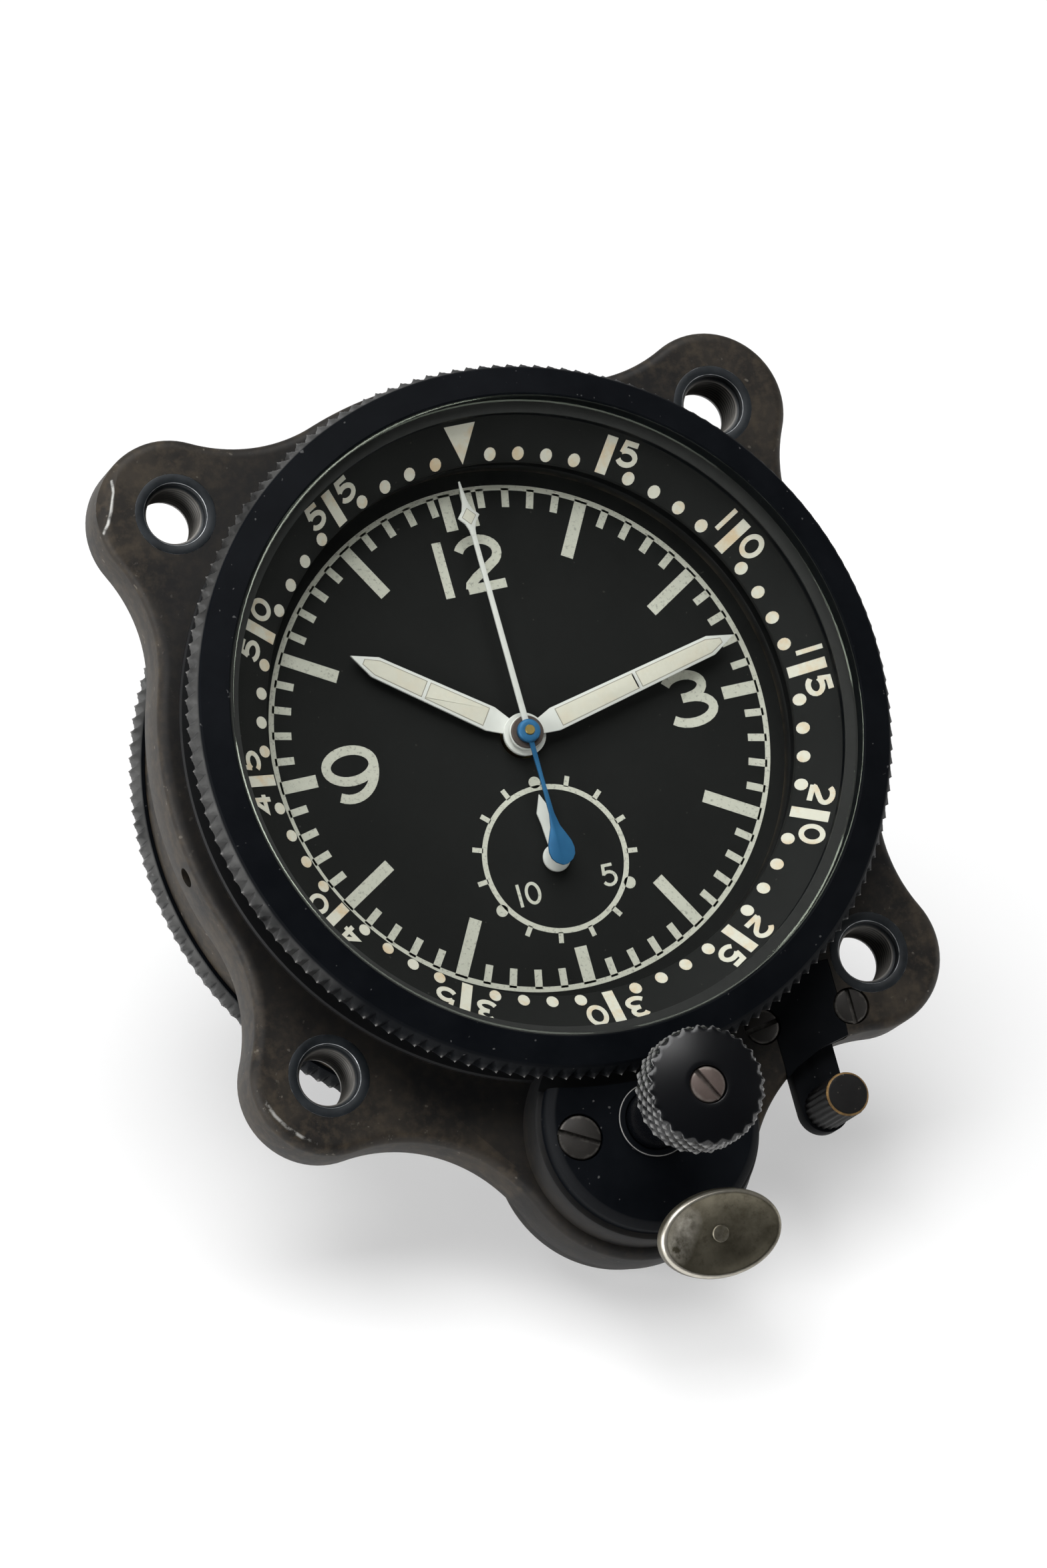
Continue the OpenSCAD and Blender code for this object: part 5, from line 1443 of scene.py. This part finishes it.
def knurl(r, z, angle):
    """Lowers the knob's side along two sets of crossed grooves."""
    if r < KNOB_R - 0.2 or z < 15.3:
        return r
    turn = angle / (2 * math.pi) * DIAMONDS
    climb = (z - KNOB_LOW) / 1.28
    first = abs((turn + climb) % 1.0 - 0.5) * 2
    second = abs((turn - climb) % 1.0 - 0.5) * 2
    return r - GROOVE * max(first, second) ** 1.4


foot = [(1.54, KNOB_LOW), (4.2, KNOB_LOW), (4.5, 15.2), (4.65, 15.35)]
side = [(KNOB_R, 15.5 + 3.3 * k / 32) for k in range(33)]
dome = [(r, 19.39 - 0.0221 * r * r) for r in (4.8, 4.42, 4.2, 3.9, 3.6, 3.2, 2.8, 2.4, 2.0, 1.66)]
well = [(1.57, 19.31), (1.54, 19.25), (1.54, 18.1)]
knob = lathe("knurled_knob", foot + side + dome + well, KNOB, DIAMONDS * 12, WINDING, knurl, 50.0)
set_mark(knob, "edge", lambda x, y, z: min(1.0, max(0.0, (from_winding(x, y) - 4.55) / 0.28)))
keep(knob, "stem", "knob_black", "winding_knob")
screws("knob_screw_head", "stem", "knob_screw", (1.45, 0.8, 0.46), COPPERY, [(*WINDING, 19.24, 63.0)])

# %% [markdown]
# ## Push piece
# The pad is an oval of nickel, dished for the thumb, with a rolled lip. The stem's end is riveted over in
# its middle. Both lean away from the dial, so they are made upright and then aimed along the stem.

# %% Push piece
PAD_LONG = 5.15
PAD_WIDE = 3.5
PAD_BACK = PAD_Z / math.cos(LEAN) - 1.5
PAD_STEPS = 96
PAD_PROFILE = ((0.9, 0.0), (0.97, 0.12), (1.0, 0.45), (1.0, 1.05), (0.985, 1.32), (0.955, 1.46),
               (0.915, 1.5), (0.875, 1.46), (0.8, 1.36), (0.68, 1.25), (0.5, 1.14), (0.3, 1.08),
               (0.12, 1.05))
RIVET = ((0.62, 0.0), (0.62, 1.1), (0.7, 1.13), (0.62, 1.2), (0.35, 1.24), (0, 1.25))


def pad_ring(share, h):
    """An oval drawn in by as much on all sides, at a height above the pad's back."""
    trim = (1.0 - share) * 4.3
    angles = [2 * math.pi * i / PAD_STEPS for i in range(PAD_STEPS)]
    wide = max(0.02, PAD_WIDE - trim * 0.82)
    return [((PAD_LONG - trim) * math.cos(a), wide * math.sin(a), PAD_BACK + h) for a in angles]


def pad_lip_and_highlight(x, y, z):
    out = math.hypot(x / PAD_LONG, y / PAD_WIDE)
    # Painted highlight: the polished lip is marked more on the left, towards the light, than on the right.
    if out > 0.9 and z > PAD_BACK + 1.2:
        return 0.85 - 0.06 * x
    return 0.35 if out > 0.98 else 0.0


pad = stack("thumb_pad", [pad_ring(share, h) for share, h in PAD_PROFILE], NICKEL, 45.0)
set_mark(pad, "edge", pad_lip_and_highlight)
keep(aim(pad, PUSH_FOOT, PUSH_WAY), "push", "pad_nickel", "push_pad")
rivet = [(r, PAD_BACK + h) for r, h in RIVET]
push_rod = lathe("push_rod", [
    (0, -2.2), (1.5, -2.2), (1.5, -1.54), (1.0, -1.54), (1.0, PAD_BACK)] + rivet, NICKEL, 48)
set_mark(push_rod, "edge", lambda x, y, z: 0.55 if z > PAD_BACK + 1.0 else 0.1)
keep(aim(push_rod, PUSH_FOOT, PUSH_WAY), "push", "pad_nickel", "push_stem")

# %% [markdown]
# ## Stop slide
# A flat strip covers a channel in the flange. The slide under it ends in a round tongue with a fluted pin
# for the finger. Strip and slide are plain plates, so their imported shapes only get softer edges. The pin's
# flutes are shallow and rounded, and come from a radius that changes by angle.

# %% Slide
PIN_AT = (SLIDE_X, -35.0)
PIN_R = 1.85
PIN_TOP = 4.06
strip = soften("slide_cover", "cover_strip", 0.06, BEZEL)
set_mark(strip, "edge", lambda x, y, z: 0.15)
keep(strip, "case", "bezel_black", "slide_cover")
slide = soften("stop_slide", "slide_tongue", 0.06, BEZEL)
set_mark(slide, "edge", lambda x, y, z: 0.2)
keep(slide, "slide", "bezel_black", "stop_slide")


def flutes(r, z, angle):
    if r < 1.7 or z > 3.9:
        return r
    return r - 0.12 * (0.5 - 0.5 * math.cos(angle * 22))


pin = lathe("finger_pin", [
    (0, -3.04), (0.8, -3.04), (0.8, -1.54), (1.75, -1.54), (PIN_R, -1.4), (PIN_R, 0.2), (PIN_R, 2.0),
    (PIN_R, 3.7), (1.8, 3.92), (1.66, 4.04), (1.5, PIN_TOP), (0, PIN_TOP)], PIN, 176, PIN_AT, flutes, 60.0)
set_mark(pin, "edge", lambda x, y, z: 0.85 if z > 3.85 and math.dist((x, y), PIN_AT) > 1.6 else 0.1)
keep(pin, "slide", "knob_black", "slide_pin")

# %% [markdown]
# ## Inside the case
# The movement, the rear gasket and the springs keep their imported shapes, because the closed case hides
# them. They still get the finish of their metal.

# %% Hidden pieces
INSIDE = {
    RUBBER: ("rear_gasket",),
    STEEL: ("bezel_spring", "push_spring", "winding_pinion", "crown_wheel", "transfer_wheel",
            "ratchet_wheel", "click", "wheel_studs", "barrel_arbor", "escape_wheel", "pallet_lever",
            "cannon_pinion"),
    BRASS: ("main_plate", "back_plate", "pillars", "barrel", "barrel_cap", "intermediate_wheel",
            "centre_wheel", "third_wheel", "fourth_wheel", "balance_wheel", "minute_wheel", "hour_wheel",
            "chrono_arbor", "counter_idler", "counter_wheel", "chrono_bridge"),
    ALUMINIUM: ("dial_spacer", "movement_ring"),
    SCREW: ("movement_screws",),
    BLUE: ("mainspring", "hairspring"),
    BEZEL: ("push_guide",),
}
for material, nodes in INSIDE.items():
    for name in nodes:
        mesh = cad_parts[name].data
        mesh.materials.clear()
        mesh.materials.append(material)
print("hidden pieces:", sum(len(nodes) for nodes in INSIDE.values()))

# %% [markdown]
# ## Floor and light
# The clock lies back on a white table, so the table fills the picture. It is one sheet, seen only from
# above. It glows a little for the camera, so that it is white while it still shows the clock's soft shadow.
# Three large lamps light the clock from above, left and right.

# %% Floor
TABLE_UP = Vector((0.0, -0.72, 0.693)).normalized()
TABLE_LOW = -0.0357
REACH = 3.0


def any_ray(f, *kinds):
    """1 for rays of the named kinds."""
    found = f.node("ShaderNodeLightPath", output=kinds[0])
    for kind in kinds[1:]:
        found = found.largest(f.node("ShaderNodeLightPath", output=kind))
    return found


def table_finish():
    f = Finish("table_white")
    seen = any_ray(f, "Is Camera Ray", "Is Glossy Ray", "Is Transmission Ray")
    lit = f.node("ShaderNodeBsdfDiffuse", inputs={"Color": (0.86, 0.86, 0.86)})
    glow = f.node("ShaderNodeEmission", inputs={"Color": (1.0, 1.0, 1.0), "Strength": 1.06})
    shown = f.node("ShaderNodeMixShader", inputs={0: seen * 0.4, 1: lit, 2: glow})
    behind = f.node("ShaderNodeNewGeometry", output="Backfacing")
    none = f.node("ShaderNodeBsdfTransparent")
    either = f.node("ShaderNodeMixShader", inputs={0: behind, 1: shown, 2: none})
    f.node("ShaderNodeOutputMaterial", inputs={"Surface": either})
    return f.material


across = Vector((REACH, 0.0, 0.0))
along = TABLE_UP.cross(across)
signs = ((-1, -1), (1, -1), (1, 1), (-1, 1))
sheet = bpy.data.meshes.new("table")
sheet.from_pydata([TABLE_UP * TABLE_LOW + across * x + along * y for x, y in signs], [], [(0, 1, 2, 3)])
sheet.materials.append(table_finish())
table = bpy.data.objects.new("table", sheet)
scene.collection.objects.link(table)

# %% Lamps and world


def lamp(name, at, size, power):
    data = bpy.data.lights.new(name, "AREA")
    data.size = size
    data.energy = power
    obj = bpy.data.objects.new(name, data)
    spot = Vector(to_row(at))
    obj.location = spot
    obj.rotation_mode = "QUATERNION"
    obj.rotation_quaternion = (-spot).to_track_quat("-Z", "Y")
    scene.collection.objects.link(obj)
    print("lamp:", name)


def studio_air(tree):
    """White for the camera. For reflections and light it is dim in front and brighter behind."""
    f = Finish("studio", tree)
    seen = any_ray(f, "Is Camera Ray", "Is Transmission Ray")
    way = f.axis("Y", f.node("ShaderNodeTexCoord", output="Generated"))
    dim = 0.04 + 0.7 * f.ramp(way, -0.3, 0.7)
    level = dim + seen * (1.0 - dim)
    air = f.node("ShaderNodeBackground", inputs={"Color": (1.0, 1.0, 1.0), "Strength": level})
    f.node("ShaderNodeOutputWorld", inputs={"Surface": air})


lamp("top", (-80.0, 520.0, 470.0), 0.7, 7.6)
lamp("left", (-560.0, -40.0, 130.0), 0.45, 4.2)
lamp("right", (560.0, -100.0, 200.0), 0.3, 0.8)
scene.world = bpy.data.worlds.new("studio")
scene.world.use_nodes = True
studio_air(scene.world.node_tree)
